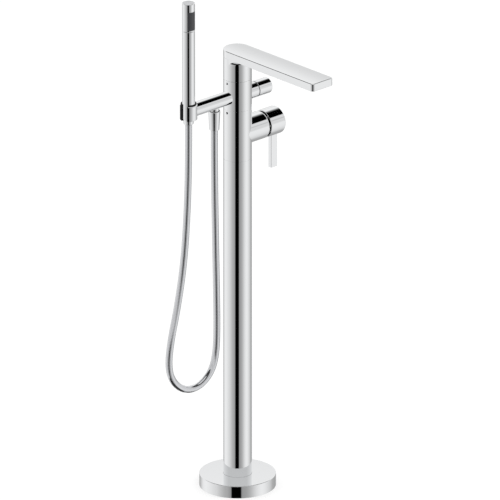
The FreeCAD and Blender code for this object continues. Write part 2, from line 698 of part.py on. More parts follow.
def diverter_knob():
    hollow_end = KNOB_BACK + KNOB_WALL * 2
    outline = [
        (DIVERTER_SPINDLE_R + SLIP_FIT, hollow_end),
        (DIVERTER_R - KNOB_WALL, hollow_end),
        (DIVERTER_R - KNOB_WALL, KNOB_BACK),
        (DIVERTER_R, KNOB_BACK, SEAM_CHAMFER),
        (DIVERTER_R, KNOB_REACH, KNOB_EDGE_R),
        (0, KNOB_REACH),
        (0, KNOB_REACH - KNOB_WALL * 2 + SEAT_GAP),
        (DIVERTER_SPINDLE_R + SLIP_FIT, KNOB_REACH - KNOB_WALL * 2 + SEAT_GAP),
    ]
    knob = turned(outline, ARM_AXIS, TO_MIXER)
    return knob.cut(rod(GRUB_SCREW_R, 0, DIVERTER_R, knob_screw_place(), TO_SPOUT * -1))


def knob_grub_screw():
    flat_y = DIVERTER_SPINDLE_R * 0.75
    head = DIVERTER_R - KNOB_WALL / 2
    return socket_screw(GRUB_SCREW_R, head, flat_y, SET_SCREW_HEX, knob_screw_place(), TO_SPOUT * -1)


# ---- spout --------------------------------------------------------------------------------------
def spout_body():
    neck = turned([
        (0, DIVERTER_TOP - SPOUT_SPIGOT_LENGTH + SEAT_GAP),
        (SPOUT_SPIGOT_R, DIVERTER_TOP - SPOUT_SPIGOT_LENGTH + SEAT_GAP),
        (SPOUT_SPIGOT_R, DIVERTER_TOP + SEAT_GAP),
        (COLUMN_R - SEAM_CHAMFER, DIVERTER_TOP + SEAT_GAP),
        (COLUMN_R, DIVERTER_TOP + SEAT_GAP + SEAM_CHAMFER),
        (COLUMN_R, SPOUT_UNDERSIDE),
        (0, SPOUT_UNDERSIDE),
    ])
    spout = fused(neck, spout_bar(), spout_blend())
    return spout.cut([spout_seal_groove(), swivel_groove()] + spout_waterway())


def spout_bar():
    """Flat bar as wide as the column, rounded at the back to the column's own radius."""
    back = Vector(0, COLUMN_R, SPOUT_UNDERSIDE)
    left = Vector(-COLUMN_R, 0, SPOUT_UNDERSIDE)
    right = Vector(COLUMN_R, 0, SPOUT_UNDERSIDE)
    tip_left = Vector(-COLUMN_R, -SPOUT_REACH, SPOUT_UNDERSIDE)
    tip_right = Vector(COLUMN_R, -SPOUT_REACH, SPOUT_UNDERSIDE)
    front = rounded_edges([left, tip_left, tip_right, right], [0, SPOUT_CORNER_R, SPOUT_CORNER_R, 0], closed=False)
    rear = Part.Arc(right, back, left).toShape()
    face = Part.Face(Part.Wire(Part.__sortEdges__(front + [rear])))
    bar = face.extrude(UP * SPOUT_THICK)
    top_rim = [edge for edge in bar.Edges if abs(edge.CenterOfMass.z - SPOUT_TOP) < SPOUT_EDGE_R / 2]
    return bar.makeFillet(SPOUT_EDGE_R, top_rim)


def spout_blend():
    """Concave blend between the neck's front and the bar's underside, inside the bar's width."""
    inner = COLUMN_R - SPOUT_BLEND_R / 2
    outer = COLUMN_R + SPOUT_BLEND_R
    low = SPOUT_UNDERSIDE - SPOUT_BLEND_R
    high = SPOUT_UNDERSIDE + SPOUT_EDGE_R
    slant = SPOUT_BLEND_R * (1 - math.sqrt(0.5))
    start = Vector(COLUMN_R, 0, low)
    middle = Vector(COLUMN_R + slant, 0, SPOUT_UNDERSIDE - slant)
    end = Vector(outer, 0, SPOUT_UNDERSIDE)
    edges = [
        Part.LineSegment(Vector(inner, 0, low), start).toShape(),
        Part.Arc(start, middle, end).toShape(),
        Part.LineSegment(end, Vector(outer, 0, high)).toShape(),
        Part.LineSegment(Vector(outer, 0, high), Vector(inner, 0, high)).toShape(),
        Part.LineSegment(Vector(inner, 0, high), Vector(inner, 0, low)).toShape(),
    ]
    collar = Part.Face(Part.Wire(edges)).revolve(ORIGIN, UP, -180.0)
    return collar.common(box(-COLUMN_R, -outer, low, COLUMN_R, 0, high))


def swivel_groove():
    """Part-round groove in the spigot: its ends stop the spout at the set screw's tip."""
    level = DIVERTER_TOP - SET_SCREW_BELOW_SEAM
    half_height = SET_SCREW_R + SLIP_FIT * 4
    floor_r = SPOUT_SPIGOT_R - SET_SCREW_GRIP
    tip_angle = math.degrees(math.asin(SET_SCREW_R / floor_r))
    half_angle = SWIVEL_HALF_ANGLE + tip_angle + 1.0
    profile = Part.makePolygon([
        Vector(floor_r, 0, level - half_height),
        Vector(SPOUT_SPIGOT_R + SEAM_CHAMFER, 0, level - half_height),
        Vector(SPOUT_SPIGOT_R + SEAM_CHAMFER, 0, level + half_height),
        Vector(floor_r, 0, level + half_height),
        Vector(floor_r, 0, level - half_height),
    ])
    groove = Part.Face(profile).revolve(ORIGIN, UP, 2 * half_angle)
    groove.rotate(ORIGIN, UP, 180.0 - half_angle)
    return groove


def spout_seal_level():
    return DIVERTER_TOP - SPOUT_SPIGOT_LENGTH + SEAT_GAP + SEAL_THICK / 2


def spout_seal_groove():
    level = spout_seal_level()
    return ring(SPOUT_SPIGOT_R, SPOUT_SPIGOT_R - SEAL_THICK / 2, level, level + SEAL_THICK)


def spout_seal():
    level = spout_seal_level()
    return ring(SPOUT_SPIGOT_R, SPOUT_SPIGOT_R - SEAL_THICK / 2, level, level + SEAL_THICK)


def spout_waterway():
    """Bore up the neck, flat channel along the bar and the aerator's threaded seat."""
    middle_z = (SPOUT_UNDERSIDE + SPOUT_TOP) / 2
    half_width = SPOUT_CHANNEL_WIDTH / 2
    half_height = SPOUT_CHANNEL_HEIGHT / 2
    aerator_place = Vector(0, AERATOR_CENTRE_Y, 0)
    return [
        rod(SPOUT_BORE_R, DIVERTER_TOP - SPOUT_SPIGOT_LENGTH, middle_z),
        box(-half_width, AERATOR_CENTRE_Y, middle_z - half_height, half_width, 0, middle_z + half_height),
        rod(AERATOR_R, SPOUT_UNDERSIDE, SPOUT_UNDERSIDE + AERATOR_DEPTH, aerator_place),
    ]


def spout_set_screw():
    level = Vector(0, 0, DIVERTER_TOP - SET_SCREW_BELOW_SEAM)
    tip = SPOUT_SPIGOT_R - SET_SCREW_GRIP + SEAT_GAP
    return socket_screw(SET_SCREW_R, COLUMN_R - SET_SCREW_R / 4, tip, SET_SCREW_HEX, level, TO_ARM)


def aerator_housing():
    inner = AERATOR_R - LINER_WALL
    low = SPOUT_UNDERSIDE - AERATOR_LIP
    outline = [
        (inner - LINER_WALL / 2, low),
        (AERATOR_R, low, LINER_WALL / 3),
        (AERATOR_R, SPOUT_UNDERSIDE + AERATOR_DEPTH),
        (inner, SPOUT_UNDERSIDE + AERATOR_DEPTH),
        (inner, low + LINER_WALL),
        (inner - LINER_WALL / 2, low + LINER_WALL / 2),
    ]
    return turned(outline, Vector(0, AERATOR_CENTRE_Y, 0))


def honeycomb_centres():
    """Places of a hexagonal pattern, ring by ring out from the middle."""
    centres = []
    for column in range(-HONEYCOMB_RINGS, HONEYCOMB_RINGS + 1):
        for row in range(-HONEYCOMB_RINGS, HONEYCOMB_RINGS + 1):
            if abs(column + row) > HONEYCOMB_RINGS:
                continue
            x = HONEYCOMB_PITCH * (column + row / 2)
            y = HONEYCOMB_PITCH * row * math.sin(math.radians(60))
            centres.append(Vector(x, AERATOR_CENTRE_Y + y, 0))
    return centres


def aerator_insert():
    """Disc with a honeycomb of hexagonal holes, which straightens the water's flow."""
    low = SPOUT_UNDERSIDE - AERATOR_LIP + LINER_WALL
    high = SPOUT_UNDERSIDE + AERATOR_DEPTH / 2
    disc = rod(AERATOR_R - LINER_WALL, low, high, Vector(0, AERATOR_CENTRE_Y, 0))
    across = HONEYCOMB_PITCH - HONEYCOMB_WEB
    holes = []
    for centre in honeycomb_centres():
        hole = hexagon_prism(across, low, high, ORIGIN, UP)
        hole.rotate(ORIGIN, UP, 30.0)
        hole.translate(centre)
        holes.append(hole)
    return disc.cut(holes)


# ---- arm and holder -----------------------------------------------------------------------------
def shower_arm():
    """Tube coped to the column at one end and to the holder's collar at the other."""
    spigot = rod(ARM_SPIGOT_R, COLUMN_R - ARM_SPIGOT_LENGTH + SEAT_GAP, COLUMN_R + ARM_R, ARM_AXIS, TO_ARM)
    tube = rod(ARM_R, COLUMN_R / 2, ARM_REACH - HOLDER_BORE_R, ARM_AXIS, TO_ARM)
    tube = tube.cut([
        rod(COLUMN_R, MIXER_TOP, DIVERTER_TOP),
        rod(HOLDER_R, HOLDER_BOTTOM, HOLDER_TOP, HOLDER_AXIS),
    ])
    arm = fused(tube, spigot)
    bore_end = holder_spigot_end() - ARM_BORE_R
    return arm.cut([
        rod(ARM_BORE_R, COLUMN_R - ARM_SPIGOT_LENGTH, bore_end, ARM_AXIS, TO_ARM),
        rod(HOLDER_SPIGOT_R + SLIP_FIT, holder_spigot_end(), ARM_REACH, ARM_AXIS, TO_ARM),
        rod(NIPPLE_R, ARM_UNDERSIDE, ARM_Z, OUTLET_AXIS),
    ])


def holder_spigot_end():
    """Distance from the column's axis at which the holder's spigot ends inside the arm."""
    return ARM_REACH - HOLDER_R - HOLDER_SPIGOT_LENGTH


def holder_cradle():
    """Open collar that holds the hand shower, with a slot for the hose on the side away from the column."""
    outline = [
        (HOLDER_BORE_R, HOLDER_BOTTOM),
        (HOLDER_R, HOLDER_BOTTOM, HOLDER_EDGE_R),
        (HOLDER_R, HOLDER_TOP, HOLDER_EDGE_R),
        (HOLDER_BORE_R, HOLDER_TOP),
    ]
    collar = turned(outline, HOLDER_AXIS)
    spigot = rod(HOLDER_SPIGOT_R, holder_spigot_end() + SEAT_GAP, ARM_REACH - HOLDER_BORE_R, ARM_AXIS, TO_ARM)
    spigot = spigot.cut(rod(HOLDER_BORE_R, HOLDER_BOTTOM, HOLDER_TOP, HOLDER_AXIS))
    return fused(collar, spigot).cut(holder_slot(HOLDER_SLOT_WIDTH))


def holder_slot(width):
    """Straight way out of the collar towards -X."""
    return box(
        -ARM_REACH - HOLDER_R * 2, -width / 2, HOLDER_BOTTOM,
        -ARM_REACH, width / 2, HOLDER_TOP,
    )


def holder_liner():
    """Plastic lining of the collar and of its slot, with a lip that carries the hand shower."""
    wrap = ring(HOLDER_BORE_R, LINER_BORE_R, HOLDER_BOTTOM, HOLDER_TOP, HOLDER_AXIS)
    lip = ring(HOLDER_BORE_R, LINER_BORE_R - LINER_LIP_WIDTH, HOLDER_BOTTOM, HOLDER_BOTTOM + LINER_LIP, HOLDER_AXIS)
    cheek_ring = ring(HOLDER_R - TRIM_FIT, LINER_BORE_R, HOLDER_BOTTOM, HOLDER_TOP, HOLDER_AXIS)
    cheeks = cheek_ring.common(holder_slot(HOLDER_SLOT_WIDTH))
    liner = fused(wrap, lip, cheeks)
    return liner.cut(holder_slot(HOLDER_SLOT_WIDTH - 2 * LINER_WALL))


def hose_outlet_stub():
    """Nipple screwed up into the arm, with a thread below for the hose nut."""
    nut_half = OUTLET_NUT_TOP - OUTLET_NUT_LENGTH * 0.4
    outline = [
        (HOSE_BORE_R, ARM_Z - ARM_BORE_R),
        (NIPPLE_R, ARM_Z - ARM_BORE_R),
        (NIPPLE_R, OUTLET_NUT_TOP),
        (THREAD_R, OUTLET_NUT_TOP),
        (THREAD_R, nut_half),
        (CHECK_VALVE_R + SLIP_FIT, nut_half),
        (CHECK_VALVE_R + SLIP_FIT, nut_half + CHECK_VALVE_LENGTH),
        (HOSE_BORE_R, nut_half + CHECK_VALVE_LENGTH),
    ]
    return turned(outline, OUTLET_AXIS)


def check_valve():
    """Backflow preventer held in the stub's mouth."""
    bottom = OUTLET_NUT_TOP - OUTLET_NUT_LENGTH * 0.4
    top = bottom + CHECK_VALVE_LENGTH - SEAT_GAP
    cage = ring(CHECK_VALVE_R, HOSE_BORE_R, bottom, top, OUTLET_AXIS)
    plug = rod(HOSE_BORE_R, bottom + CHECK_VALVE_R, top - SEAL_THICK, OUTLET_AXIS)
    return fused(cage, plug)


def hose_washer_outlet():
    top = OUTLET_NUT_TOP - OUTLET_NUT_LENGTH * 0.4
    return ring(THREAD_R - TRIM_FIT, HOSE_BORE_R, top - WASHER_THICK, top, OUTLET_AXIS)


def hose_nut_outlet():
    """Tapered nut that hides the stub's thread and the hose's upper end."""
    thread_end = OUTLET_NUT_TOP - OUTLET_NUT_LENGTH * 0.4 - WASHER_THICK
    outline = [
        (THREAD_R, OUTLET_NUT_TOP),
        (OUTLET_NUT_TOP_R, OUTLET_NUT_TOP, SEAM_CHAMFER),
        (OUTLET_NUT_BOTTOM_R, OUTLET_NUT_BOTTOM, SEAM_CHAMFER),
        (HOSE_BORE_R, OUTLET_NUT_BOTTOM),
        (HOSE_BORE_R, thread_end),
        (THREAD_R, thread_end),
    ]
    return turned(outline, OUTLET_AXIS)


# ---- hose ---------------------------------------------------------------------------------------
def hose_route():
    start = HOLDER_AXIS + UP * HANDSET_NUT_BOTTOM
    end = OUTLET_AXIS + UP * OUTLET_NUT_BOTTOM
    return [start] + [Vector(x, 0, z) for x, z in HOSE_ROUTE_XZ] + [end]


def hose_radii(points):
    """Each bend is as large as its two runs allow."""
    radii = [0]
    for before, corner, after in zip(points, points[1:], points[2:]):
        into = before - corner
        out = after - corner
        half_turn = (math.pi - into.getAngle(out)) / 2
        radii.append(ARC_SHARE * min(into.Length, out.Length) / math.tan(half_turn))
    return radii + [0]


def shower_hose():
    points = hose_route()
    radii = hose_radii(points)
    path = Part.Wire(rounded_edges(points, radii, closed=False))
    section = Part.Wire(Part.makeCircle(HOSE_R, points[0], points[1] - points[0]))
    tube = Part.Wire(path).makePipeShell([section], True, False)
    expected = math.pi * HOSE_R ** 2 * path.Length
    print("hose radii", [round(radius) for radius in radii[1:-1]])
    print("hose length %.0f, volume over section times length %.4f" % (path.Length, tube.Volume / expected))
    return tube


def hose_nut_handset():
    nipple_top = HANDSET_NUT_TOP - NIPPLE_REACH
    outline = [
        (NIPPLE_R, HANDSET_NUT_TOP),
        (HANDSET_NUT_TOP_R, HANDSET_NUT_TOP),
        (HANDSET_NUT_BOTTOM_R, HANDSET_NUT_BOTTOM),
        (HOSE_BORE_R, HANDSET_NUT_BOTTOM),
        (HOSE_BORE_R, nipple_top - WASHER_THICK),
        (NIPPLE_R, nipple_top - WASHER_THICK),
    ]
    return turned(outline, HOLDER_AXIS)


def hose_washer_handset():
    top = HANDSET_NUT_TOP - NIPPLE_REACH
    return ring(NIPPLE_R - TRIM_FIT, HOSE_BORE_R, top - WASHER_THICK, top, HOLDER_AXIS)


# ---- hand shower --------------------------------------------------------------------------------
def handset_handle():
    inner = HANDSET_R - HANDSET_WALL
    floor_top = HANDSET_BOTTOM + HANDSET_WALL * 3
    outline = [
        (NIPPLE_R, HANDSET_BOTTOM),
        (HANDSET_R, HANDSET_BOTTOM, SEAM_CHAMFER),
        (HANDSET_R, HEAD_BOTTOM - SEAM_CHAMFER),
        (HANDSET_R - SEAM_CHAMFER, HEAD_BOTTOM),
        (inner, HEAD_BOTTOM),
        (inner, floor_top),
        (NIPPLE_R, floor_top),
    ]
    return turned(outline, HOLDER_AXIS)


def handset_connector():
    """Nipple through the handle's floor that takes the hose nut below and the inner pipe above."""
    floor_top = HANDSET_BOTTOM + HANDSET_WALL * 3
    outline = [
        (HOSE_BORE_R, HANDSET_NUT_TOP - NIPPLE_REACH),
        (NIPPLE_R, HANDSET_NUT_TOP - NIPPLE_REACH),
        (NIPPLE_R, floor_top),
        (NIPPLE_R + HANDSET_WALL, floor_top),
        (NIPPLE_R + HANDSET_WALL, floor_top + HANDSET_WALL * 4),
        (HANDSET_PIPE_R, floor_top + HANDSET_WALL * 4),
        (HANDSET_PIPE_R, floor_top + HANDSET_WALL),
        (HOSE_BORE_R, floor_top + HANDSET_WALL),
    ]
    return turned(outline, HOLDER_AXIS)


def handset_pipe():
    """Inner pipe from the connector up to the spray chamber."""
    start = HANDSET_BOTTOM + HANDSET_WALL * 4
    return ring(HANDSET_PIPE_R, HANDSET_PIPE_R - PIPE_WALL, start, HEAD_BOTTOM + HANDSET_WALL, HOLDER_AXIS)


def panel_outline(width, height, corner_r):
    """Rounded rectangle in the stick's axial plane, centred on the spray panel."""
    half_width = width / 2
    half_height = height / 2
    middle = HOLDER_AXIS + UP * PANEL_MIDDLE
    corners = [
        middle + Vector(-half_width, 0, -half_height),
        middle + Vector(half_width, 0, -half_height),
        middle + Vector(half_width, 0, half_height),
        middle + Vector(-half_width, 0, half_height),
    ]
    return outline_face(corners, [corner_r] * 4).extrude(TO_SPOUT * (HANDSET_R * 2))


def handset_head():
    """Spray head: a tube closed at the top, with a window for the spray panel."""
    inner = HANDSET_R - HANDSET_WALL
    outline = [
        (HANDSET_PIPE_R, HEAD_BOTTOM),
        (HANDSET_R - SEAM_CHAMFER, HEAD_BOTTOM),
        (HANDSET_R, HEAD_BOTTOM + SEAM_CHAMFER),
        (HANDSET_R, HANDSET_TOP, HANDSET_END_R),
        (HANDSET_CAP_R, HANDSET_TOP),
        (HANDSET_CAP_R, HANDSET_TOP - HANDSET_CAP_THICK),
        (inner - HANDSET_WALL, HANDSET_TOP - HANDSET_CAP_THICK),
        (inner - HANDSET_WALL, HANDSET_TOP - HANDSET_CAP_THICK * 2),
        (inner, HANDSET_TOP - HANDSET_CAP_THICK * 2),
        (inner, HEAD_BOTTOM + HANDSET_WALL),
        (HANDSET_PIPE_R, HEAD_BOTTOM + HANDSET_WALL),
    ]
    shell = turned(outline, HOLDER_AXIS)
    window = panel_outline(SPRAY_PANEL_WIDTH, SPRAY_PANEL_HEIGHT, SPRAY_PANEL_CORNER_R)
    return shell.cut(window)


def handset_top_cap():
    """Flat disc that closes the stick's top, a hair below the rim."""
    low = HANDSET_TOP - HANDSET_CAP_THICK
    return rod(HANDSET_CAP_R, low, HANDSET_TOP - TRIM_FIT * 2, HOLDER_AXIS)


def spray_panel():
    """Curved panel flush in the head's window, backed by a wider flange inside the head."""
    fit = TRIM_FIT
    window = panel_outline(
        SPRAY_PANEL_WIDTH - 2 * fit,
        SPRAY_PANEL_HEIGHT - 2 * fit,
        SPRAY_PANEL_CORNER_R - fit,
    )
    low = PANEL_MIDDLE - SPRAY_PANEL_HEIGHT / 2
    inner = HANDSET_R - HANDSET_WALL
    plate = ring(HANDSET_R, inner - SPRAY_PANEL_THICK / 2, low, PANEL_TOP, HOLDER_AXIS).common(window)
    overlap = SPRAY_PANEL_FLANGE
    flange_ring = ring(inner, inner - SPRAY_PANEL_THICK / 2, low - overlap, PANEL_TOP + overlap, HOLDER_AXIS)
    flange = flange_ring.common(panel_outline(SPRAY_PANEL_WIDTH, SPRAY_PANEL_HEIGHT + 2 * overlap, 0))
    return fused(plate, flange)


def spray_nozzles():
    """Rows of small rubber nozzles that stand out of the panel, as one group."""
    nozzles = []
    for row in range(NOZZLE_ROWS):
        height = PANEL_MIDDLE + NOZZLE_ROW_PITCH * (row - (NOZZLE_ROWS - 1) / 2)
        for column in range(NOZZLE_COLUMNS):
            angle = NOZZLE_ANGLE_PITCH * (column - (NOZZLE_COLUMNS - 1) / 2)
            centre = HOLDER_AXIS + UP * height
            nozzle = rod(NOZZLE_R, HANDSET_R - SLIP_FIT, HANDSET_R + NOZZLE_HEIGHT, centre, TO_SPOUT)
            nozzle = nozzle.cut(rod(HANDSET_R, -NOZZLE_R * 2, NOZZLE_R * 2, centre))
            nozzle.rotate(centre, UP, angle)
            nozzles.append(nozzle)
    return Part.makeCompound(nozzles)


# ---- all nodes ----------------------------------------------------------------------------------
PARTS = {
    "floor_rosette": floor_rosette,
    "rosette_seal": rosette_seal,
    "floor_foot": floor_foot,
    "foot_set_screws": foot_set_screws,
    "column_tube": column_tube,
    "hot_supply_pipe": lambda: supply_pipe(1),
    "cold_supply_pipe": lambda: supply_pipe(-1),
    "pipe_seals": pipe_seals,
    "mixer_body": mixer_body,
    "cartridge_body": cartridge_body,
    "cartridge_discs": cartridge_discs,
    "cartridge_nut": cartridge_nut,
    "cartridge_carrier": cartridge_carrier,
    "stem_pivot_pin": stem_pivot_pin,
    "cartridge_stem": cartridge_stem,
    "handle_cap": handle_cap,
    "lever_bar": lever_bar,
    "handle_grub_screw": handle_grub_screw,
    "handle_plug": handle_plug,
    "diverter_body": diverter_body,
    "module_seal": module_seal,
    "diverter_set_screw": diverter_set_screw,
    "diverter_cartridge": diverter_cartridge,
    "diverter_spindle": diverter_spindle,
    "diverter_knob": diverter_knob,
    "knob_grub_screw": knob_grub_screw,
    "spout_body": spout_body,
    "spout_seal": spout_seal,
    "spout_set_screw": spout_set_screw,
    "aerator_housing": aerator_housing,
    "aerator_insert": aerator_insert,
    "shower_arm": shower_arm,
    "holder_cradle": holder_cradle,
    "holder_liner": holder_liner,
    "hose_outlet_stub": hose_outlet_stub,
    "check_valve": check_valve,
    "hose_washer_outlet": hose_washer_outlet,
    "hose_nut_outlet": hose_nut_outlet,
    "shower_hose": shower_hose,
    "hose_nut_handset": hose_nut_handset,
    "hose_washer_handset": hose_washer_handset,
    "handset_connector": handset_connector,
    "handset_handle": handset_handle,
    "handset_pipe": handset_pipe,
    "handset_head": handset_head,
    "handset_top_cap": handset_top_cap,
    "spray_panel": spray_panel,
    "spray_nozzles": spray_nozzles,
}

os.makedirs("parts", exist_ok=True)
for name, make in PARTS.items():
    shape = make()
    print("%-20s solids %2d volume %9.0f valid %s" % (name, len(shape.Solids), shape.Volume, shape.isValid()))
    shape.exportStep("parts/%s.step" % name)
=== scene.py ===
"""Floor standing bath filler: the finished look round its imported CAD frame.

The file is laid out as an add-on and is run as a script. +Z is up and the origin is on the floor, on the column's
axis. The spout points to -Y, the mixer and the diverter knob to +X, and the hand shower's arm to -X. Outlines of
turned pieces are in millimetres, everything else is in metres.
"""
import json
import math

import bmesh
import bpy
from mathutils import Matrix, Vector

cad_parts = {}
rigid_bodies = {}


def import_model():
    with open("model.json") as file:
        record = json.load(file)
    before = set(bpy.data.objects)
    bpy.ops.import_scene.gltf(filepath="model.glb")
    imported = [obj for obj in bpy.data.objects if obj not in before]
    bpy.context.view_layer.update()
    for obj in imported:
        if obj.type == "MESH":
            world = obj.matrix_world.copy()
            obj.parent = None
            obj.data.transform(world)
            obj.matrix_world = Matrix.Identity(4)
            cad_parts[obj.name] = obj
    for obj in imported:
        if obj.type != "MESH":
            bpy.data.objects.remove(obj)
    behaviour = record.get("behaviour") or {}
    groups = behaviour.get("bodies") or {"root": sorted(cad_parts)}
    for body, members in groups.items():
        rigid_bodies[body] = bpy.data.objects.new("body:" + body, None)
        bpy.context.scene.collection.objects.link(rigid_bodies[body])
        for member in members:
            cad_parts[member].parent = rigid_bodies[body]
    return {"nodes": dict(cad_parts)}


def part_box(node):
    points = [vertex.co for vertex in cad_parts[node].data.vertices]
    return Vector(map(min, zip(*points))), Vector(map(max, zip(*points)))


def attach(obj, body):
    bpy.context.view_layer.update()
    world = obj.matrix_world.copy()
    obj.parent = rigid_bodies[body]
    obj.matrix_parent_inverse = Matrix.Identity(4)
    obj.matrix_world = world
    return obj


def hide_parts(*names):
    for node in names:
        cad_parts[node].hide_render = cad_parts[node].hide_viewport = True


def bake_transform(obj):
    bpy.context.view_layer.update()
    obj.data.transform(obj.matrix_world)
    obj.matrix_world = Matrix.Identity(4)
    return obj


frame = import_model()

# A new Blender file's own cube, lamp and camera aren't part of the frame.
for spare in ("Cube", "Light", "Camera"):
    if spare in bpy.data.objects and spare not in frame["nodes"]:
        bpy.data.objects.remove(bpy.data.objects[spare], do_unlink=True)

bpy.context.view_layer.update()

bl_info = {
    "name": "Floor standing bath filler",
    "version": (1, 0, 0),
    "blender": (4, 5, 0),
    "location": "3D View > Sidebar > Bath filler",
    "description": "Models the chrome pieces, the hose and the studio of a floor standing bath filler",
    "category": "Object",
}

# ---- places and directions --------------------------------------------------------------------------------------
UP = Vector((0, 0, 1))
TO_SPOUT = Vector((0, -1, 0))
TO_MIXER = Vector((1, 0, 0))
TO_ARM = Vector((-1, 0, 0))
COLUMN_AXIS = Vector((0, 0, 0))
HOLDER_AXIS = Vector((-0.130, 0, 0))
OUTLET_AXIS = Vector((-0.0617, 0, 0))
MIXER_AXIS = Vector((0, 0, 0.739))
ARM_AXIS = Vector((0, 0, 0.817))

# Heights of the seams between the column's modules, in millimetres.
TUBE_TOP = 687.0
MIXER_TOP = 792.0
DIVERTER_TOP = 853.0
SPOUT_UNDERSIDE = 898.0

# Grooves at the feet of the modules, in millimetres for each metre of the seam's size: the lower ones are finer.
TUBE_GROOVE, MIXER_GROOVE, SPOUT_GROOVE = 250, 450, 1000

# The collar's way out, from its middle line to its edges, with the lining's lips in it, in metres.
SLOT_TURN = 4.4
SLOT_HALF_WIDTH = 0.0106
LIP_FRONT, LIP_BACK = 0.009, 0.002

# The hose's route between its two nuts, in the plane of the arm: (x, z) in metres.
HOSE_ROUTE = [
    (-0.0617, 0.76125), (-0.0617, 0.690), (-0.0595, 0.570), (-0.0565, 0.440), (-0.0545, 0.336), (-0.0585, 0.283),
    (-0.073, 0.252), (-0.103, 0.233), (-0.139, 0.235), (-0.170, 0.258), (-0.185, 0.293), (-0.179, 0.346),
    (-0.160, 0.415), (-0.1425, 0.505), (-0.134, 0.605), (-0.130, 0.705), (-0.130, 0.7902),
]

# The camera stands far off, so the photograph's parallel edges stay parallel.
CAMERA_TURN = math.radians(-43.1)
CAMERA_RISE = math.radians(21.5)
CAMERA_DISTANCE = 45.0
CAMERA_TARGET = Vector((0.0182, -0.0161, 0.4922))
PIXELS_PER_METRE = 512.7
IMAGE_WIDTH = 500


def linear(code):
    """An sRGB hex colour as the linear one that Blender's colour sockets hold."""
    channels = [int(code[start:start + 2], 16) / 255 for start in (1, 3, 5)]
    return tuple(c / 12.92 if c <= 0.04045 else ((c + 0.055) / 1.055) ** 2.4 for c in channels)


def per_mm(size):
    """Texture scale at which a noise cell or a wave is about this many millimetres across."""
    return 1000.0 / size


# ---- sizes and colours that a user would change -----------------------------------------------------------------
def cad_half_width(node):
    """Half of a CAD node's width across the column, in metres."""
    low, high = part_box(node)
    return (high.x - low.x) / 2


def length_property(label, text, default):
    """A length that the panel shows in the scene's units."""
    return bpy.props.FloatProperty(
        name=label, description=text, default=default, min=0.0, precision=4, subtype="DISTANCE", unit="LENGTH",
    )


def colour_property(label, text, code):
    """A colour with its default given as an sRGB hex value."""
    return bpy.props.FloatVectorProperty(
        name=label, description=text, default=linear(code), size=3, min=0.0, max=1.0, subtype="COLOR",
    )


class BathFillerSizes(bpy.types.PropertyGroup):
    """Main sizes of the bath filler."""

    column_radius: length_property("Column radius", "Outer radius of the column", cad_half_width("column_tube"))
    rosette_radius: length_property("Rosette radius", "Radius of the floor cover", cad_half_width("floor_rosette"))
    rosette_height: length_property("Rosette height", "Height of the floor cover", 0.025)
    spout_reach: length_property("Spout reach", "From the column's axis to the spout's tip", 0.243)
    spout_thickness: length_property("Spout thickness", "Height of the flat bar", 0.016)
    spout_corner: length_property("Spout corner", "Radius of the two front corners", 0.007)
    spout_edge: length_property("Spout edge", "Rounding of the top rim", 0.0017)
    spout_crown: length_property("Spout crown", "How far the top falls from its middle to its long edges", 0.00037)
    lever_width: length_property("Lever width", "Width of the lever along the mixer's axis", 0.016)
    lever_thickness: length_property("Lever thickness", "Thickness of the lever", 0.0084)
    hose_diameter: length_property("Hose diameter", "Outer diameter of the hose", 0.0136)
    # The grooves look dark because black seam rings fill them: painted shade.
    seam: length_property("Seam", "Height of the dark groove at the foot of the spout's neck", 0.0003)
    steps: bpy.props.IntProperty(
        name="Steps", description="Faces round a turned piece", default=128, min=24, max=256,
    )


class BathFillerColours(bpy.types.PropertyGroup):
    """Base colours of the finishes."""

    chrome: colour_property("Chrome", "Polished chrome plate", "#EFF0F1")
    satin: colour_property("Satin chrome", "Satin chrome plate of the stick's top disc", "#D2D3D5")
    hose: colour_property("Hose", "Metallic sheath under the hose's clear cover", "#D9DADD")
    panel: colour_property("Spray panel", "Dark grey moulded ABS", "#3B3C3F")
    nozzles: colour_property("Nozzles", "Grey silicone", "#55575A")
    lining: colour_property("Lining", "Black moulded nylon of the holder", "#08080A")
    brass: colour_property("Brass", "Bare turned brass", "#D9C08A")
    steel: colour_property("Steel", "Drawn stainless steel", "#C9CACC")
    white: colour_property("Acetal", "White moulded acetal of the inner pieces", "#E8E8E4")


# ---- small modelling helpers ------------------------------------------------------------------------------------
def select_only(obj):
    """Selects one object and makes it active."""
    bpy.ops.object.select_all(action="DESELECT")
    obj.select_set(True)
    bpy.context.view_layer.objects.active = obj


def edit_only(obj):
    """Opens one object in edit mode, with vertices to be selected."""
    select_only(obj)
    bpy.ops.object.mode_set(mode="EDIT")
    bpy.ops.mesh.select_mode(type="VERT")


def select_parts(obj, kind, test):
    """In edit mode, selects only the edges or faces whose corners all pass a test."""
    bpy.ops.mesh.select_mode(type=kind)
    bpy.ops.mesh.select_all(action="DESELECT")
    mesh = bmesh.from_edit_mesh(obj.data)
    for part in mesh.edges if kind == "EDGE" else mesh.faces:
        if all(test(corner.co) for corner in part.verts):
            part.select_set(True)
    bmesh.update_edit_mesh(obj.data)


def near(value, wanted, slack=2e-6):
    return abs(value - wanted) < slack


def round_edges(obj, test, radius, segments=4):
    """Bevels the edges whose ends pass a test."""
    edit_only(obj)
    select_parts(obj, "EDGE", test)
    bpy.ops.mesh.bevel(offset=radius, offset_type="OFFSET", segments=segments, profile=0.5, affect="EDGES")
    bpy.ops.object.mode_set(mode="OBJECT")


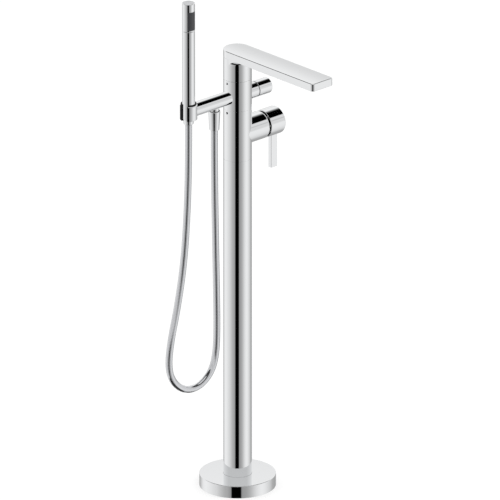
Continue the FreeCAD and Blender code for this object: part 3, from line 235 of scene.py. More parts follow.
def turned(name, outline, place=COLUMN_AXIS, axis=UP, steps=96):
    """A piece turned about an axis. The outline is (radius, distance along the axis[, rounding]) in millimetres."""
    outward = TO_MIXER if axis == UP else UP
    points = [place + outward * (corner[0] / 1000) + axis * (corner[1] / 1000) for corner in outline]
    on_axis = near(outline[0][0], 0) and near(outline[-1][0], 0)
    route = points if on_axis else points + [points[0]]
    bpy.ops.object.select_all(action="DESELECT")
    bpy.ops.mesh.primitive_plane_add(size=0.001, location=(0, 0, 0))
    piece = bpy.context.object
    piece.name = name
    edit_only(piece)
    bpy.ops.mesh.select_all(action="SELECT")
    bpy.ops.mesh.merge(type="CENTER")
    bpy.ops.transform.translate(value=route[0])
    for before, after in zip(route, route[1:]):
        bpy.ops.mesh.extrude_region_move(TRANSFORM_OT_translate={"value": after - before})
    bpy.ops.mesh.select_all(action="SELECT")
    bpy.ops.mesh.remove_doubles(threshold=1e-6)
    bpy.ops.mesh.spin(steps=steps, angle=2 * math.pi, center=place, axis=axis)
    bpy.ops.mesh.select_all(action="SELECT")
    bpy.ops.mesh.remove_doubles(threshold=1e-6)
    bpy.ops.mesh.normals_make_consistent(inside=False)
    bpy.ops.object.mode_set(mode="OBJECT")
    for corner in outline:
        if len(corner) > 2:
            radius, distance, rounding = (value / 1000 for value in corner)

            def on_ring(point, radius=radius, distance=distance):
                along = (point - place).dot(axis)
                return near(along, distance) and near((point - place - axis * along).length, radius)

            round_edges(piece, on_ring, rounding)
    return piece


def block(name, low, high):
    """A box between two corners, with its place in its mesh."""
    low, high = Vector(low), Vector(high)
    bpy.ops.object.select_all(action="DESELECT")
    bpy.ops.mesh.primitive_cube_add(size=1, location=(low + high) / 2, scale=high - low)
    piece = bpy.context.object
    piece.name = name
    bpy.ops.object.transform_apply(location=True, rotation=True, scale=True)
    return piece


def swung(obj, place, degrees):
    """Turns a piece about an upright axis, counter-clockwise seen from above."""
    select_only(obj)
    obj.matrix_world = (
        Matrix.Translation(place) @ Matrix.Rotation(math.radians(degrees), 4, "Z") @ Matrix.Translation(-place)
    )
    bpy.ops.object.transform_apply(location=True, rotation=True, scale=True)
    return obj


def trim(obj, point, normal):
    """Cuts off what lies on the normal's side of a plane and closes the cut."""
    edit_only(obj)
    bpy.ops.mesh.select_all(action="SELECT")
    bpy.ops.mesh.bisect(plane_co=point, plane_no=normal, clear_outer=True, use_fill=True)
    bpy.ops.object.mode_set(mode="OBJECT")


def cut(obj, tool):
    """Takes the tool's shape out of a piece, then removes the tool."""
    select_only(obj)
    bpy.ops.object.modifier_add(type="BOOLEAN")
    modifier = obj.modifiers[-1]
    modifier.operation = "DIFFERENCE"
    modifier.solver = "EXACT"
    modifier.object = tool
    bpy.ops.object.modifier_apply(modifier=modifier.name)
    bpy.ops.object.select_all(action="DESELECT")
    tool.select_set(True)
    bpy.ops.object.delete()


def joined(first, *others):
    """Several shells as one piece."""
    bpy.ops.object.select_all(action="DESELECT")
    for obj in (first, *others):
        obj.select_set(True)
    bpy.context.view_layer.objects.active = first
    bpy.ops.object.join()
    return first


def finish_piece(obj, body, slot, *nodes):
    """Smooth shading that keeps flat faces flat, a finish, a body to ride on, and the CAD nodes it stands for."""
    select_only(obj)
    bpy.ops.object.shade_smooth_by_angle(angle=math.radians(32))
    bpy.ops.object.modifier_add(type="WEIGHTED_NORMAL")
    modifier = obj.modifiers[-1]
    modifier.keep_sharp = True
    modifier.weight = 90
    bpy.ops.object.modifier_apply(modifier=modifier.name)
    obj.data.materials.clear()
    obj.data.materials.append(bpy.data.materials[FINISHES[slot][0]])
    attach(obj, body)
    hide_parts(*nodes)


# ---- finishes ---------------------------------------------------------------------------------------------------
def add_node(tree, kind, inputs=None, **settings):
    """Adds one node, with its settings, and fills or links its inputs."""
    node = tree.nodes.new(kind)
    for name, value in settings.items():
        setattr(node, name, value)
    for name, value in (inputs or {}).items():
        if isinstance(value, bpy.types.NodeSocket):
            tree.links.new(value, node.inputs[name])
        else:
            node.inputs[name].default_value = value
    return node


def maths(tree, operation, *values):
    """The result of one sum on numbers or sockets."""
    return add_node(tree, "ShaderNodeMath", dict(enumerate(values)), operation=operation).outputs[0]


def mixed(tree, share, first, second):
    """The first colour where the share is 0, and the second where it is 1."""
    return add_node(tree, "ShaderNodeMix", {0: share, 6: first, 7: second}, data_type="RGBA").outputs[2]


def empty_material(name):
    """A new material with nothing in it, and its tree."""
    material = bpy.data.materials.new(name)
    material.use_nodes = True
    material.node_tree.nodes.clear()
    return material, material.node_tree


def surface(tree, **inputs):
    """The shader and the output that every finish ends in."""
    named = {name.replace("_", " "): value for name, value in inputs.items()}
    shader = add_node(tree, "ShaderNodeBsdfPrincipled", named)
    add_node(tree, "ShaderNodeOutputMaterial", {"Surface": shader.outputs["BSDF"]})


def object_noise(tree, size, detail=2.0, stretch=(1, 1, 1)):
    """Noise in the piece's own space, with cells of this many millimetres."""
    place = add_node(tree, "ShaderNodeTexCoord").outputs["Object"]
    stretched = add_node(tree, "ShaderNodeMapping", {"Vector": place, "Scale": stretch}).outputs["Vector"]
    return add_node(
        tree, "ShaderNodeTexNoise", {"Vector": stretched, "Scale": per_mm(size), "Detail": detail},
    ).outputs["Fac"]


def spread(tree, value, low, high, start=0.3, end=0.7):
    """Maps a value between start and end, at first the middle of a noise, to a range."""
    return add_node(
        tree, "ShaderNodeMapRange",
        {"Value": value, "From Min": start, "From Max": end, "To Min": low, "To Max": high},
    ).outputs["Result"]


def bumped(tree, height, depth):
    """A normal from a height that is this many millimetres deep."""
    return add_node(
        tree, "ShaderNodeBump", {"Height": height, "Strength": 1.0, "Distance": depth / 1000},
    ).outputs["Normal"]


def tinted(tree, value, colour, change):
    """A colour that gets lighter or darker by this share as a value goes from 0 to 1."""
    dark = (*(channel * (1 - change) for channel in colour), 1)
    light = (*(min(1, channel * (1 + change)) for channel in colour), 1)
    return mixed(tree, value, dark, light)


def polished_chrome_plate(colours):
    """Chrome over nickel on polished brass: a mirror with a faint haze and hardly any waviness."""
    material, tree = empty_material("polished_chrome_plate")
    haze = spread(tree, object_noise(tree, 28), 0.02, 0.045)
    wave = bumped(tree, object_noise(tree, 12, 0), 0.004)
    surface(tree, Base_Color=(*colours.chrome, 1), Metallic=1.0, Roughness=haze, Normal=wave)
    return material


def satin_chrome_plate(colours):
    """Chrome over a fine blasted face: it mirrors softly and looks a little darker."""
    material, tree = empty_material("satin_chrome_plate")
    grain = object_noise(tree, 0.4, 3)
    surface(
        tree, Base_Color=(*colours.satin, 1), Metallic=1.0,
        Roughness=spread(tree, object_noise(tree, 9), 0.16, 0.22), Normal=bumped(tree, grain, 0.004),
    )
    return material


def silver_hose_sheath(colours):
    """Clear PVC over a metallised winding: silver, smooth, with the winding as faint rings.

    The real winding is about 1 mm wide. It is drawn 3 mm wide so that it shows.
    """
    material, tree = empty_material("silver_hose_sheath")
    along = add_node(tree, "ShaderNodeAttribute", attribute_name="along_hose").outputs["Fac"]
    ring = maths(tree, "SINE", times(tree, along, 2 * math.pi * per_mm(3)))
    ring_height = spread(tree, ring, 0, 1, -1, 1)
    surface(
        tree, Base_Color=tinted(tree, ring_height, colours.hose, 0.05), Metallic=0.92,
        Roughness=spread(tree, object_noise(tree, 20), 0.08, 0.13), Normal=bumped(tree, ring_height, 0.012),
        Coat_Weight=0.5, Coat_Roughness=0.05,
    )
    return material


def moulded_abs(colours):
    """Dark grey ABS from a fine-textured mould: semi-gloss with a soft highlight."""
    material, tree = empty_material("moulded_abs")
    grain = object_noise(tree, 0.5, 2)
    surface(
        tree, Base_Color=tinted(tree, object_noise(tree, 6), colours.panel, 0.06),
        Roughness=spread(tree, object_noise(tree, 8), 0.3, 0.38), IOR=1.54, Normal=bumped(tree, grain, 0.012),
    )
    return material


def silicone_rubber(colours):
    """Moulded silicone: soft, dull and slightly dusty."""
    material, tree = empty_material("silicone_rubber")
    surface(
        tree, Base_Color=tinted(tree, object_noise(tree, 3), colours.nozzles, 0.08),
        Roughness=spread(tree, object_noise(tree, 5), 0.5, 0.62), IOR=1.41,
        Normal=bumped(tree, object_noise(tree, 0.3), 0.008),
    )
    return material


def moulded_nylon(colours):
    """Black nylon lining: satin, so that a chrome stick slides in it without marks."""
    material, tree = empty_material("moulded_nylon")
    surface(
        tree, Base_Color=tinted(tree, object_noise(tree, 5), colours.lining, 0.1),
        Roughness=spread(tree, object_noise(tree, 7), 0.55, 0.68), IOR=1.53, Specular_IOR_Level=0.1,
        Normal=bumped(tree, object_noise(tree, 0.4), 0.01),
    )
    return material


def nitrile_rubber(colours):
    """Black seals: matt, with the faint bloom of moulded nitrile. It also colours the black pieces of painted shade in
    the column's seams, the mixer's gap and under the outlet's boss.
    """
    material, tree = empty_material("nitrile_rubber")
    surface(
        tree, Base_Color=tinted(tree, object_noise(tree, 4), colours.lining, 0.25),
        Roughness=spread(tree, object_noise(tree, 6), 0.6, 0.75), IOR=1.52, Specular_IOR_Level=0.0,
        Normal=bumped(tree, object_noise(tree, 0.5), 0.01),
    )
    return material


def turned_brass(colours):
    """Bare brass from the lathe: golden, with fine tool marks and thin tarnish."""
    material, tree = empty_material("turned_brass")
    marks = object_noise(tree, 0.9, 1, (0.05, 0.05, 1))
    surface(
        tree, Base_Color=tinted(tree, object_noise(tree, 14, 4), colours.brass, 0.12), Metallic=1.0,
        Roughness=spread(tree, marks, 0.2, 0.34), Normal=bumped(tree, marks, 0.01),
    )
    return material


def drawn_stainless(colours):
    """Stainless steel drawn through a die: dull silver with fine lines along it."""
    material, tree = empty_material("drawn_stainless")
    lines = object_noise(tree, 0.5, 2, (1, 1, 0.03))
    surface(
        tree, Base_Color=(*colours.steel, 1), Metallic=1.0,
        Roughness=spread(tree, lines, 0.24, 0.36), Normal=bumped(tree, lines, 0.006),
    )
    return material


def black_oxide_steel(colours):
    """Set screws blackened in hot salts: nearly black, with a dull oily sheen."""
    material, tree = empty_material("black_oxide_steel")
    surface(
        tree, Base_Color=tinted(tree, object_noise(tree, 1.5), colours.lining, 0.3), Metallic=0.6,
        Roughness=spread(tree, object_noise(tree, 2), 0.4, 0.55), Normal=bumped(tree, object_noise(tree, 0.3), 0.006),
    )
    return material


def moulded_acetal(colours):
    """White acetal of the valve's inner pieces: slippery, satin and slightly waxy."""
    material, tree = empty_material("moulded_acetal")
    surface(
        tree, Base_Color=tinted(tree, object_noise(tree, 6), colours.white, 0.03),
        Roughness=spread(tree, object_noise(tree, 9), 0.34, 0.44), IOR=1.48, Subsurface_Weight=0.05,
        Normal=bumped(tree, object_noise(tree, 0.6), 0.008),
    )
    return material


def lapped_ceramic(colours):
    """Alumina discs ground flat: white with a wet-looking face."""
    material, tree = empty_material("lapped_ceramic")
    surface(
        tree, Base_Color=tinted(tree, object_noise(tree, 4), colours.white, 0.02),
        Roughness=spread(tree, object_noise(tree, 5), 0.1, 0.16), IOR=1.76,
        Normal=bumped(tree, object_noise(tree, 0.3), 0.002),
    )
    return material


# The record's slots, with the name of the finish and what makes it.
FINISHES = {
    "chrome": ("polished_chrome_plate", polished_chrome_plate),
    "satin_grey": ("satin_chrome_plate", satin_chrome_plate),
    "silver_hose": ("silver_hose_sheath", silver_hose_sheath),
    "grey_plastic": ("moulded_abs", moulded_abs),
    "grey_rubber": ("silicone_rubber", silicone_rubber),
    "black_plastic": ("moulded_nylon", moulded_nylon),
    "black_rubber": ("nitrile_rubber", nitrile_rubber),
    "brass": ("turned_brass", turned_brass),
    "steel": ("drawn_stainless", drawn_stainless),
    "white_plastic": ("moulded_acetal", moulded_acetal),
    "ceramic": ("lapped_ceramic", lapped_ceramic),
}


class BATHFILLER_OT_finishes(bpy.types.Operator):
    """Makes the finishes and gives them to the CAD nodes"""

    bl_idname = "bath_filler.finishes"
    bl_label = "Finishes"

    def execute(self, context):
        made = {slot: make(context.scene.bath_filler_colours) for slot, (_, make) in FINISHES.items()}
        black_oxide_steel(context.scene.bath_filler_colours)
        for node in frame["nodes"].values():
            slot = node.data.materials[0].name.split(".")[0]
            node.data.materials[0] = made[slot]
        return {"FINISHED"}


# ---- camera -----------------------------------------------------------------------------------------------------
def camera_directions():
    """Away from the camera, and to the photograph's right, both level."""
    away = Vector((-math.sin(CAMERA_TURN), math.cos(CAMERA_TURN), 0))
    right = Vector((math.cos(CAMERA_TURN), math.sin(CAMERA_TURN), 0))
    return away, right


class BATHFILLER_OT_camera(bpy.types.Operator):
    """Sets the long lens at the photograph's angle"""

    bl_idname = "bath_filler.camera"
    bl_label = "Camera"

    def execute(self, context):
        away, _ = camera_directions()
        forward = away * math.cos(CAMERA_RISE) - UP * math.sin(CAMERA_RISE)
        bpy.ops.object.select_all(action="DESELECT")
        bpy.ops.object.camera_add(
            location=CAMERA_TARGET - forward * CAMERA_DISTANCE,
            rotation=forward.to_track_quat("-Z", "Y").to_euler(),
        )
        camera = bpy.context.object
        camera.name = "photo_camera"
        camera.data.sensor_width = 36.0
        camera.data.lens = PIXELS_PER_METRE * CAMERA_DISTANCE * camera.data.sensor_width / IMAGE_WIDTH
        camera.data.clip_start = 1.0
        camera.data.clip_end = 200.0
        context.scene.camera = camera
        return {"FINISHED"}


# ---- hose and its nuts ------------------------------------------------------------------------------------------
class BATHFILLER_OT_hose(bpy.types.Operator):
    """Makes the hanging hose with a nut at each end"""

    bl_idname = "bath_filler.hose"
    bl_label = "Hose"

    def execute(self, context):
        sizes = context.scene.bath_filler_sizes
        outlet_nut = turned("outlet_nut", [
            (9.5, 799.85), (11.75, 799.85, 0.35), (9.85, 761.25, 0.35), (4.5, 761.25), (4.5, 782.91), (9.5, 782.91),
        ], OUTLET_AXIS)
        finish_piece(outlet_nut, "column", "chrome", "hose_nut_outlet")
        stick_nut = turned("stick_nut", [
            (7.5, 802.2), (11.0, 802.2, 0.3), (9.7, 791.4, 0.9), (7.0, 790.2), (4.5, 790.2), (4.5, 794.2), (7.5, 794.2),
        ], HOLDER_AXIS)
        finish_piece(stick_nut, "hand_shower", "chrome", "hose_nut_handset")
        path = [vertex.co.copy() for vertex in route_mesh("hose_path", 0).data.vertices]
        bpy.ops.object.delete()
        hose = route_mesh("hose", sizes.hose_diameter / 2)
        mark_along(hose, path)
        bpy.ops.object.shade_smooth_by_angle(angle=math.radians(60))
        hose.data.materials.clear()
        hose.data.materials.append(bpy.data.materials[FINISHES["silver_hose"][0]])
        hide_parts("shower_hose")
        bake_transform(hose)
        return {"FINISHED"}


def route_mesh(name, radius):
    """The hose's route as a smooth tube, or as its centre line where the radius is 0."""
    curve = bpy.data.curves.new(name, "CURVE")
    curve.dimensions = "3D"
    spline = curve.splines.new("NURBS")
    spline.points.add(len(HOSE_ROUTE) - 1)
    for point, (x, z) in zip(spline.points, HOSE_ROUTE):
        point.co = (x, 0, z, 1)
    spline.order_u = 3
    spline.use_endpoint_u = True
    spline.resolution_u = 14
    curve.bevel_depth = radius
    curve.bevel_resolution = 6
    curve.use_fill_caps = True
    obj = bpy.data.objects.new(name, curve)
    bpy.context.scene.collection.objects.link(obj)
    select_only(obj)
    bpy.ops.object.convert(target="MESH")
    return bpy.context.object


def mark_along(hose, path):
    """Writes each point's distance along the hose, for the winding's rings."""
    reached = [0.0]
    for before, after in zip(path, path[1:]):
        reached.append(reached[-1] + (after - before).length)
    along = hose.data.attributes.new("along_hose", "FLOAT", "POINT")
    for index, vertex in enumerate(hose.data.vertices):
        nearest = min(range(len(path)), key=lambda step: (path[step] - vertex.co).length_squared)
        along.data[index].value = reached[nearest]


# ---- floor cover and column -------------------------------------------------------------------------------------
class BATHFILLER_OT_rosette(bpy.types.Operator):
    """Makes the round cover over the floor fixing"""

    bl_idname = "bath_filler.rosette"
    bl_label = "Floor rosette"

    def execute(self, context):
        sizes = context.scene.bath_filler_sizes
        radius, top = sizes.rosette_radius * 1000, sizes.rosette_height * 1000
        bore, wall = sizes.column_radius * 1000 + 0.3, 2.0
        rosette = turned("rosette_cover", [
            (radius, 0), (radius, top, 1.0), (bore, top), (bore, top - wall), (radius - wall, top - wall),
            (radius - wall, 0),
        ], steps=sizes.steps)
        finish_piece(rosette, "column", "chrome", "floor_rosette")
        return {"FINISHED"}


class BATHFILLER_OT_column(bpy.types.Operator):
    """Makes the long lower tube of the column"""

    bl_idname = "bath_filler.column"
    bl_label = "Column tube"

    def execute(self, context):
        sizes = context.scene.bath_filler_sizes
        radius = sizes.column_radius * 1000
        tube = turned("lower_tube", [
            (radius, 8), (radius, TUBE_TOP), (radius - 2, TUBE_TOP), (radius - 2, 8),
        ], steps=sizes.steps)
        finish_piece(tube, "column", "chrome", "column_tube")
        return {"FINISHED"}


def module_shell(name, sizes, low, high, groove):
    """One module of the column, with a fine groove at its foot."""
    radius = sizes.column_radius * 1000
    return turned(name, [
        (0, low), (radius - 2, low), (radius - 2, low + groove), (radius, low + groove), (radius, high), (0, high),
    ], steps=sizes.steps)


def seam_shade_ring(name, sizes, foot, height):
    """Black ring that nearly fills the groove at a module's foot: painted shade, which darkens the seam's fine gap."""
    radius, low, high = sizes.column_radius * 1000, foot + 0.005, foot + height
    inner, outer = radius - 1.7, radius - 0.05
    ring = turned(name, [(inner, low), (outer, low), (outer, high), (inner, high)], steps=sizes.steps)
    finish_piece(ring, "column", "black_rubber")


def drill_set_screw(shell, height):
    """The set screw's hole on the hand shower's side, this many millimetres up."""
    tool = turned("drill", [(0, 20), (2.5, 20), (2.5, 32), (0, 32)], Vector((0, 0, height / 1000)), TO_ARM, 32)
    cut(shell, tool)


def set_screw(name, height, node):
    """Headless black screw in its hole, with a hexagon socket."""
    place = Vector((0, 0, height / 1000))
    screw = turned(name, [(0, 21), (2.4, 21), (2.4, 26.9, 0.2), (0, 26.9)], place, TO_ARM, 32)
    bpy.ops.object.select_all(action="DESELECT")
    bpy.ops.mesh.primitive_cylinder_add(
        vertices=6, radius=0.00116, depth=0.006, location=place + TO_ARM * 0.027, rotation=(0, math.radians(90), 0),
    )
    socket = bpy.context.object
    bpy.ops.object.transform_apply(location=True, rotation=True, scale=True)
    cut(screw, socket)
    finish_piece(screw, "column", "steel", node)
    screw.data.materials[0] = bpy.data.materials["black_oxide_steel"]


# ---- mixer ------------------------------------------------------------------------------------------------------
class BATHFILLER_OT_mixer(bpy.types.Operator):
    """Makes the mixer module with its horizontal sleeve"""

    bl_idname = "bath_filler.mixer"
    bl_label = "Mixer body"

    def execute(self, context):
        sizes = context.scene.bath_filler_sizes
        shell = module_shell("mixer_module", sizes, TUBE_TOP, MIXER_TOP, sizes.seam * TUBE_GROOVE)
        seam_shade_ring("tube_seam", sizes, TUBE_TOP, sizes.seam * TUBE_GROOVE - 0.005)
        drill_set_screw(shell, MIXER_TOP - 6)
        set_screw("lower_set_screw", MIXER_TOP - 6, "diverter_set_screw")
        sleeve = turned("mixer_sleeve", [
            (0, 0), (27.5, 0), (27.5, 64.8, 6.4), (21.05, 64.8), (21.05, 46), (17.6, 46), (17.6, 8), (0, 8),
        ], MIXER_AXIS, TO_MIXER, sizes.steps)
        finish_piece(joined(shell, sleeve), "column", "chrome", "mixer_body")
        # A black pad on the upper part of the rounded end, widest in front, and a black collar that closes the gap:
        # both are painted shade, the dark crescent between sleeve and cap.
        pad = turned("sleeve_pad", [
            (27.53, 58), (27.53, 64.83, 6.43), (21.07, 64.83), (21.07, 64.3), (26, 59), (26, 58),
        ], MIXER_AXIS, TO_MIXER, sizes.steps)
        trim(pad, MIXER_AXIS + TO_MIXER * 0.0626, Vector((-1, 0.0843, -0.0226)))
        trim(pad, MIXER_AXIS, -UP)
        finish_piece(pad, "column", "black_rubber")
        collar = turned("sleeve_collar", [
            (17.7, 60), (21.04, 60), (21.04, 67.5), (19.5, 69.6), (17.7, 69.6),
        ], MIXER_AXIS, TO_MIXER)
        finish_piece(collar, "column", "black_rubber")
        return {"FINISHED"}


class BATHFILLER_OT_mixer_handle(bpy.types.Operator):
    """Makes the mixer's round cap and its flat lever"""

    bl_idname = "bath_filler.mixer_handle"
    bl_label = "Mixer handle"

    def execute(self, context):
        sizes = context.scene.bath_filler_sizes
        cap = turned("mixer_cap", [
            (0, 83.5), (25.9, 83.5), (25.9, 65.7), (27.5, 65.7, 0.8), (27.5, 103.7, 2.0), (0, 103.7),
        ], MIXER_AXIS, TO_MIXER, sizes.steps)
        finish_piece(cap, "mixer_handle", "chrome", "handle_cap")
        # A black ring fills the cap's hollow behind the gap: painted shade. Its conical inner face clears the sleeve
        # while the handle tilts.
        ring = turned("cap_ring", [
            (23.7, 66.2), (25.8, 65.9), (25.8, 83), (21.5, 83), (21.5, 71),
        ], MIXER_AXIS, TO_MIXER)
        finish_piece(ring, "mixer_handle", "black_rubber")
        middle, half_width, half_thick = 0.094, sizes.lever_width / 2, sizes.lever_thickness / 2
        low, high = 0.643, 0.72525
        lever = block("mixer_lever", (middle - half_width, -half_thick, low), (middle + half_width, half_thick, high))
        for side in (-1, 1):
            for face in (-1, 1):
                x, y = middle + side * half_width, face * half_thick
                round_edges(lever, lambda point: near(point.x, x) and near(point.y, y), 0.0008)
        round_edges(lever, lambda point: near(point.z, low), 0.0004, 3)
        finish_piece(lever, "mixer_handle", "chrome", "lever_bar")
        return {"FINISHED"}


# ---- diverter ---------------------------------------------------------------------------------------------------
class BATHFILLER_OT_diverter(bpy.types.Operator):
    """Makes the diverter module with its neck, and the knob on it"""

    bl_idname = "bath_filler.diverter"
    bl_label = "Diverter"

    def execute(self, context):
        sizes = context.scene.bath_filler_sizes
        shell = module_shell("diverter_module", sizes, MIXER_TOP, DIVERTER_TOP, sizes.seam * MIXER_GROOVE)
        seam_shade_ring("mixer_seam", sizes, MIXER_TOP, sizes.seam * MIXER_GROOVE - 0.005)
        seam_shade_ring("diverter_seam", sizes, DIVERTER_TOP, sizes.seam * SPOUT_GROOVE - 0.03)
        drill_set_screw(shell, DIVERTER_TOP - 6)
        set_screw("upper_set_screw", DIVERTER_TOP - 6, "spout_set_screw")
        neck = turned("diverter_neck", [
            (0, 0), (15.75, 0), (15.75, 44.5, 0.5), (10.05, 44.5), (10.05, 2), (0, 2),
        ], ARM_AXIS, TO_MIXER)
        finish_piece(joined(shell, neck), "column", "chrome", "diverter_body")
        knob = turned("diverter_knob_cap", [
            (4.05, 57), (13.25, 57), (13.25, 46.2), (15.75, 46.2, 0.5), (15.75, 79, 1.0), (0, 79), (0, 74.1),
            (4.05, 74.1),
        ], ARM_AXIS, TO_MIXER)
        finish_piece(knob, "diverter_handle", "chrome", "diverter_knob")
        ring = turned("neck_ring", [(10.2, 44.6), (15.5, 44.6), (15.5, 46.1), (10.2, 46.1)], ARM_AXIS, TO_MIXER)
        finish_piece(ring, "column", "black_rubber")
        return {"FINISHED"}


# ---- spout ------------------------------------------------------------------------------------------------------
class BATHFILLER_OT_spout(bpy.types.Operator):
    """Makes the flat spout with its neck and the hollow curve between them"""

    bl_idname = "bath_filler.spout"
    bl_label = "Spout"

    def execute(self, context):
        sizes = context.scene.bath_filler_sizes
        neck = module_shell("spout_neck", sizes, DIVERTER_TOP + 0.1, SPOUT_UNDERSIDE, sizes.seam * SPOUT_GROOVE - 0.1)
        finish_piece(joined(spout_bar(sizes), neck, spout_curve(sizes)), "spout", "chrome", "spout_body")
        return {"FINISHED"}


def spout_bar(sizes):
    """The flat bar, as wide as the column and rounded at the back to its radius."""
    radius, low, high = sizes.column_radius, SPOUT_UNDERSIDE / 1000, SPOUT_UNDERSIDE / 1000 + sizes.spout_thickness
    bpy.ops.object.select_all(action="DESELECT")
    bpy.ops.mesh.primitive_cylinder_add(
        vertices=sizes.steps, radius=radius, depth=high - low, location=(0, 0, (low + high) / 2),
    )
    bar = bpy.context.object
    bar.name = "spout_bar"
    bpy.ops.object.transform_apply(location=True, rotation=True, scale=True)
    trim(bar, COLUMN_AXIS, TO_SPOUT)
    edit_only(bar)
    select_parts(bar, "FACE", lambda point: near(point.y, 0))
    bpy.ops.mesh.extrude_region_move(TRANSFORM_OT_translate={"value": TO_SPOUT * sizes.spout_reach})
    select_parts(bar, "EDGE", lambda point: near(point.y, 0) and (near(point.z, low) or near(point.z, high)))
    bpy.ops.mesh.dissolve_edges(use_verts=False)
    bpy.ops.object.mode_set(mode="OBJECT")
    for side in (-1, 1):
        x = side * radius
        round_edges(bar, lambda point: near(point.x, x) and near(point.y, -sizes.spout_reach), sizes.spout_corner, 6)
    round_edges(bar, lambda point: near(point.z, high), sizes.spout_edge)
    round_edges(bar, lambda point: near(point.z, low), sizes.spout_edge * 0.7)
    crown(bar, radius, high - sizes.spout_edge / 2, sizes.spout_crown)
    seat = Vector((0, -(sizes.spout_reach - 0.019), 0))
    cut(bar, turned("aerator_seat", [(0, 890), (12, 890), (12, 904), (0, 904)], seat))
    return bar


def crown(bar, radius, above, fall):
    """Slices the top lengthwise and lowers it towards its long edges, so that it is very slightly domed."""
    slices = 14
    for step in range(1, slices):
        edit_only(bar)
        select_parts(bar, "FACE", lambda point: point.z > above)
        x = radius * (2 * step / slices - 1)
        bpy.ops.mesh.bisect(plane_co=(x, 0, 0), plane_no=TO_MIXER)
        bpy.ops.object.mode_set(mode="OBJECT")
    for vertex in bar.data.vertices:
        if vertex.co.z > above:
            vertex.co.z -= fall * (vertex.co.x / radius) ** 2


def spout_curve(sizes):
    """Hollow quarter-round between the neck's front and the bar's underside, no wider than the bar."""
    radius, blend, top = sizes.column_radius * 1000, 12.0, SPOUT_UNDERSIDE
    outline = [(radius - 5, top + 1), (radius - 5, top - blend)]
    for step in range(13):
        turn = math.radians(90 * step / 12)
        outline.append((radius + blend - blend * math.cos(turn), top - blend + blend * math.sin(turn)))
    outline.append((radius + blend, top + 1))
    curve = turned("spout_curve", outline, steps=sizes.steps)
    trim(curve, TO_SPOUT * 0.004, -TO_SPOUT)
    for side in (TO_MIXER, TO_ARM):
        trim(curve, side * sizes.column_radius, side)
    return curve


# ---- arm and holder ---------------------------------------------------------------------------------------------
class BATHFILLER_OT_arm(bpy.types.Operator):
    """Makes the arm and the open collar that holds the hand shower"""

    bl_idname = "bath_filler.arm"
    bl_label = "Arm and holder"

    def execute(self, context):
        arm = turned("arm_tube", [
            (0, 14), (11.5, 14), (11.5, 25.4), (13.75, 25.4, 0.5), (13.75, 122), (0, 122),
        ], ARM_AXIS, TO_ARM)
        cut(arm, turned("cope", [(0, 790), (16.6, 790), (16.6, 840), (0, 840)], HOLDER_AXIS))
        finish_piece(arm, "column", "chrome", "shower_arm")
        collar = turned("holder_collar", [
            (14.5, 801), (17, 801, 0.6), (17, 831, 0.6), (14.5, 831),
        ], HOLDER_AXIS)
        cut(collar, hose_slot(SLOT_HALF_WIDTH, SLOT_HALF_WIDTH))
        finish_piece(collar, "column", "chrome", "holder_cradle")
        finish_piece(holder_lining(), "column", "black_plastic", "holder_liner")
        boss = turned("outlet_boss", [(7.6, 800.9), (9.4, 800.9, 0.2), (9.4, 806), (7.6, 806)], OUTLET_AXIS)
        finish_piece(boss, "column", "chrome")
        # A black washer between the nut and the boss: painted shade, the dark line of the thin gap under the arm.
        washer = turned("outlet_washer", [(7.6, 799.9), (10.7, 799.9), (10.7, 800.8), (7.6, 800.8)], OUTLET_AXIS)
        finish_piece(washer, "column", "black_rubber")
        return {"FINISHED"}


def hose_slot(front, back):
    """Tool for the collar's way out: it faces away from the column, turned a little to the front."""
    tool = block("slot", (-0.165, -front, 0.79), (-0.130, back, 0.84))
    return swung(tool, HOLDER_AXIS, SLOT_TURN)


def holder_lining():
    """Black lining: it stands a little above the collar, carries the stick on a lip and lines the slot's edges.

    Its lip at the slot's back is wide and soft, so the hose can still be pushed past it.
    """
    lining = turned("collar_lining", [
        (11.2, 801.1), (14.45, 801.1), (14.45, 831), (15.4, 831), (15.4, 834.3, 0.4), (13.0, 834.3, 0.3),
        (13.0, 802.2), (11.2, 802.2),
    ], HOLDER_AXIS)
    cheeks = turned("slot_cheeks", [(13.6, 801.2), (16.9, 801.2), (16.9, 830.9), (13.6, 830.9)], HOLDER_AXIS)
    turn = Matrix.Rotation(math.radians(SLOT_TURN), 3, "Z")
    trim(cheeks, HOLDER_AXIS, turn @ TO_MIXER)
    for side in (TO_SPOUT, -TO_SPOUT):
        across = turn @ side
        trim(cheeks, HOLDER_AXIS + across * (SLOT_HALF_WIDTH - 0.00005), across)
    cut(lining, hose_slot(LIP_FRONT, LIP_BACK))
    cut(cheeks, hose_slot(LIP_FRONT, LIP_BACK))
    return joined(lining, cheeks)


# ---- hand shower ------------------------------------------------------------------------------------------------
class BATHFILLER_OT_hand_shower(bpy.types.Operator):
    """Makes the stick: its handle, its spray head with a window, and the disc on top"""

    bl_idname = "bath_filler.hand_shower"
    bl_label = "Hand shower"

    def execute(self, context):
        handle = turned("stick_handle", [
            (7.5, 802.3), (12.65, 802.3, 0.35), (12.65, 984.95), (12.3, 985.3), (10.85, 985.3), (10.85, 807.7),
            (7.5, 807.7),
        ], HOLDER_AXIS)
        finish_piece(handle, "hand_shower", "chrome", "handset_handle")
        head = turned("stick_head", [
            (6, 985.3), (12.3, 985.3), (12.65, 985.65), (12.65, 1042.3, 0.8), (11.2, 1042.3), (11.2, 1040.3),
            (9.05, 1040.3), (9.05, 1038.3), (10.85, 1038.3), (10.85, 987.1), (6, 987.1),
        ], HOLDER_AXIS)
        window = block("window", (-0.1395, -0.026, 0.9878), (-0.1205, 0.0, 1.0263))
        for x in (-0.1395, -0.1205):
            for z in (0.9878, 1.0263):
                round_edges(window, lambda point: near(point.x, x) and near(point.z, z), 0.002)
        cut(head, window)
        finish_piece(head, "hand_shower", "chrome", "handset_head")
        disc = turned("stick_disc", [(0, 1040.3), (11.2, 1040.3), (11.2, 1042.1, 0.2), (0, 1042.1)], HOLDER_AXIS)
        finish_piece(disc, "hand_shower", "satin_grey", "handset_top_cap")
        return {"FINISHED"}


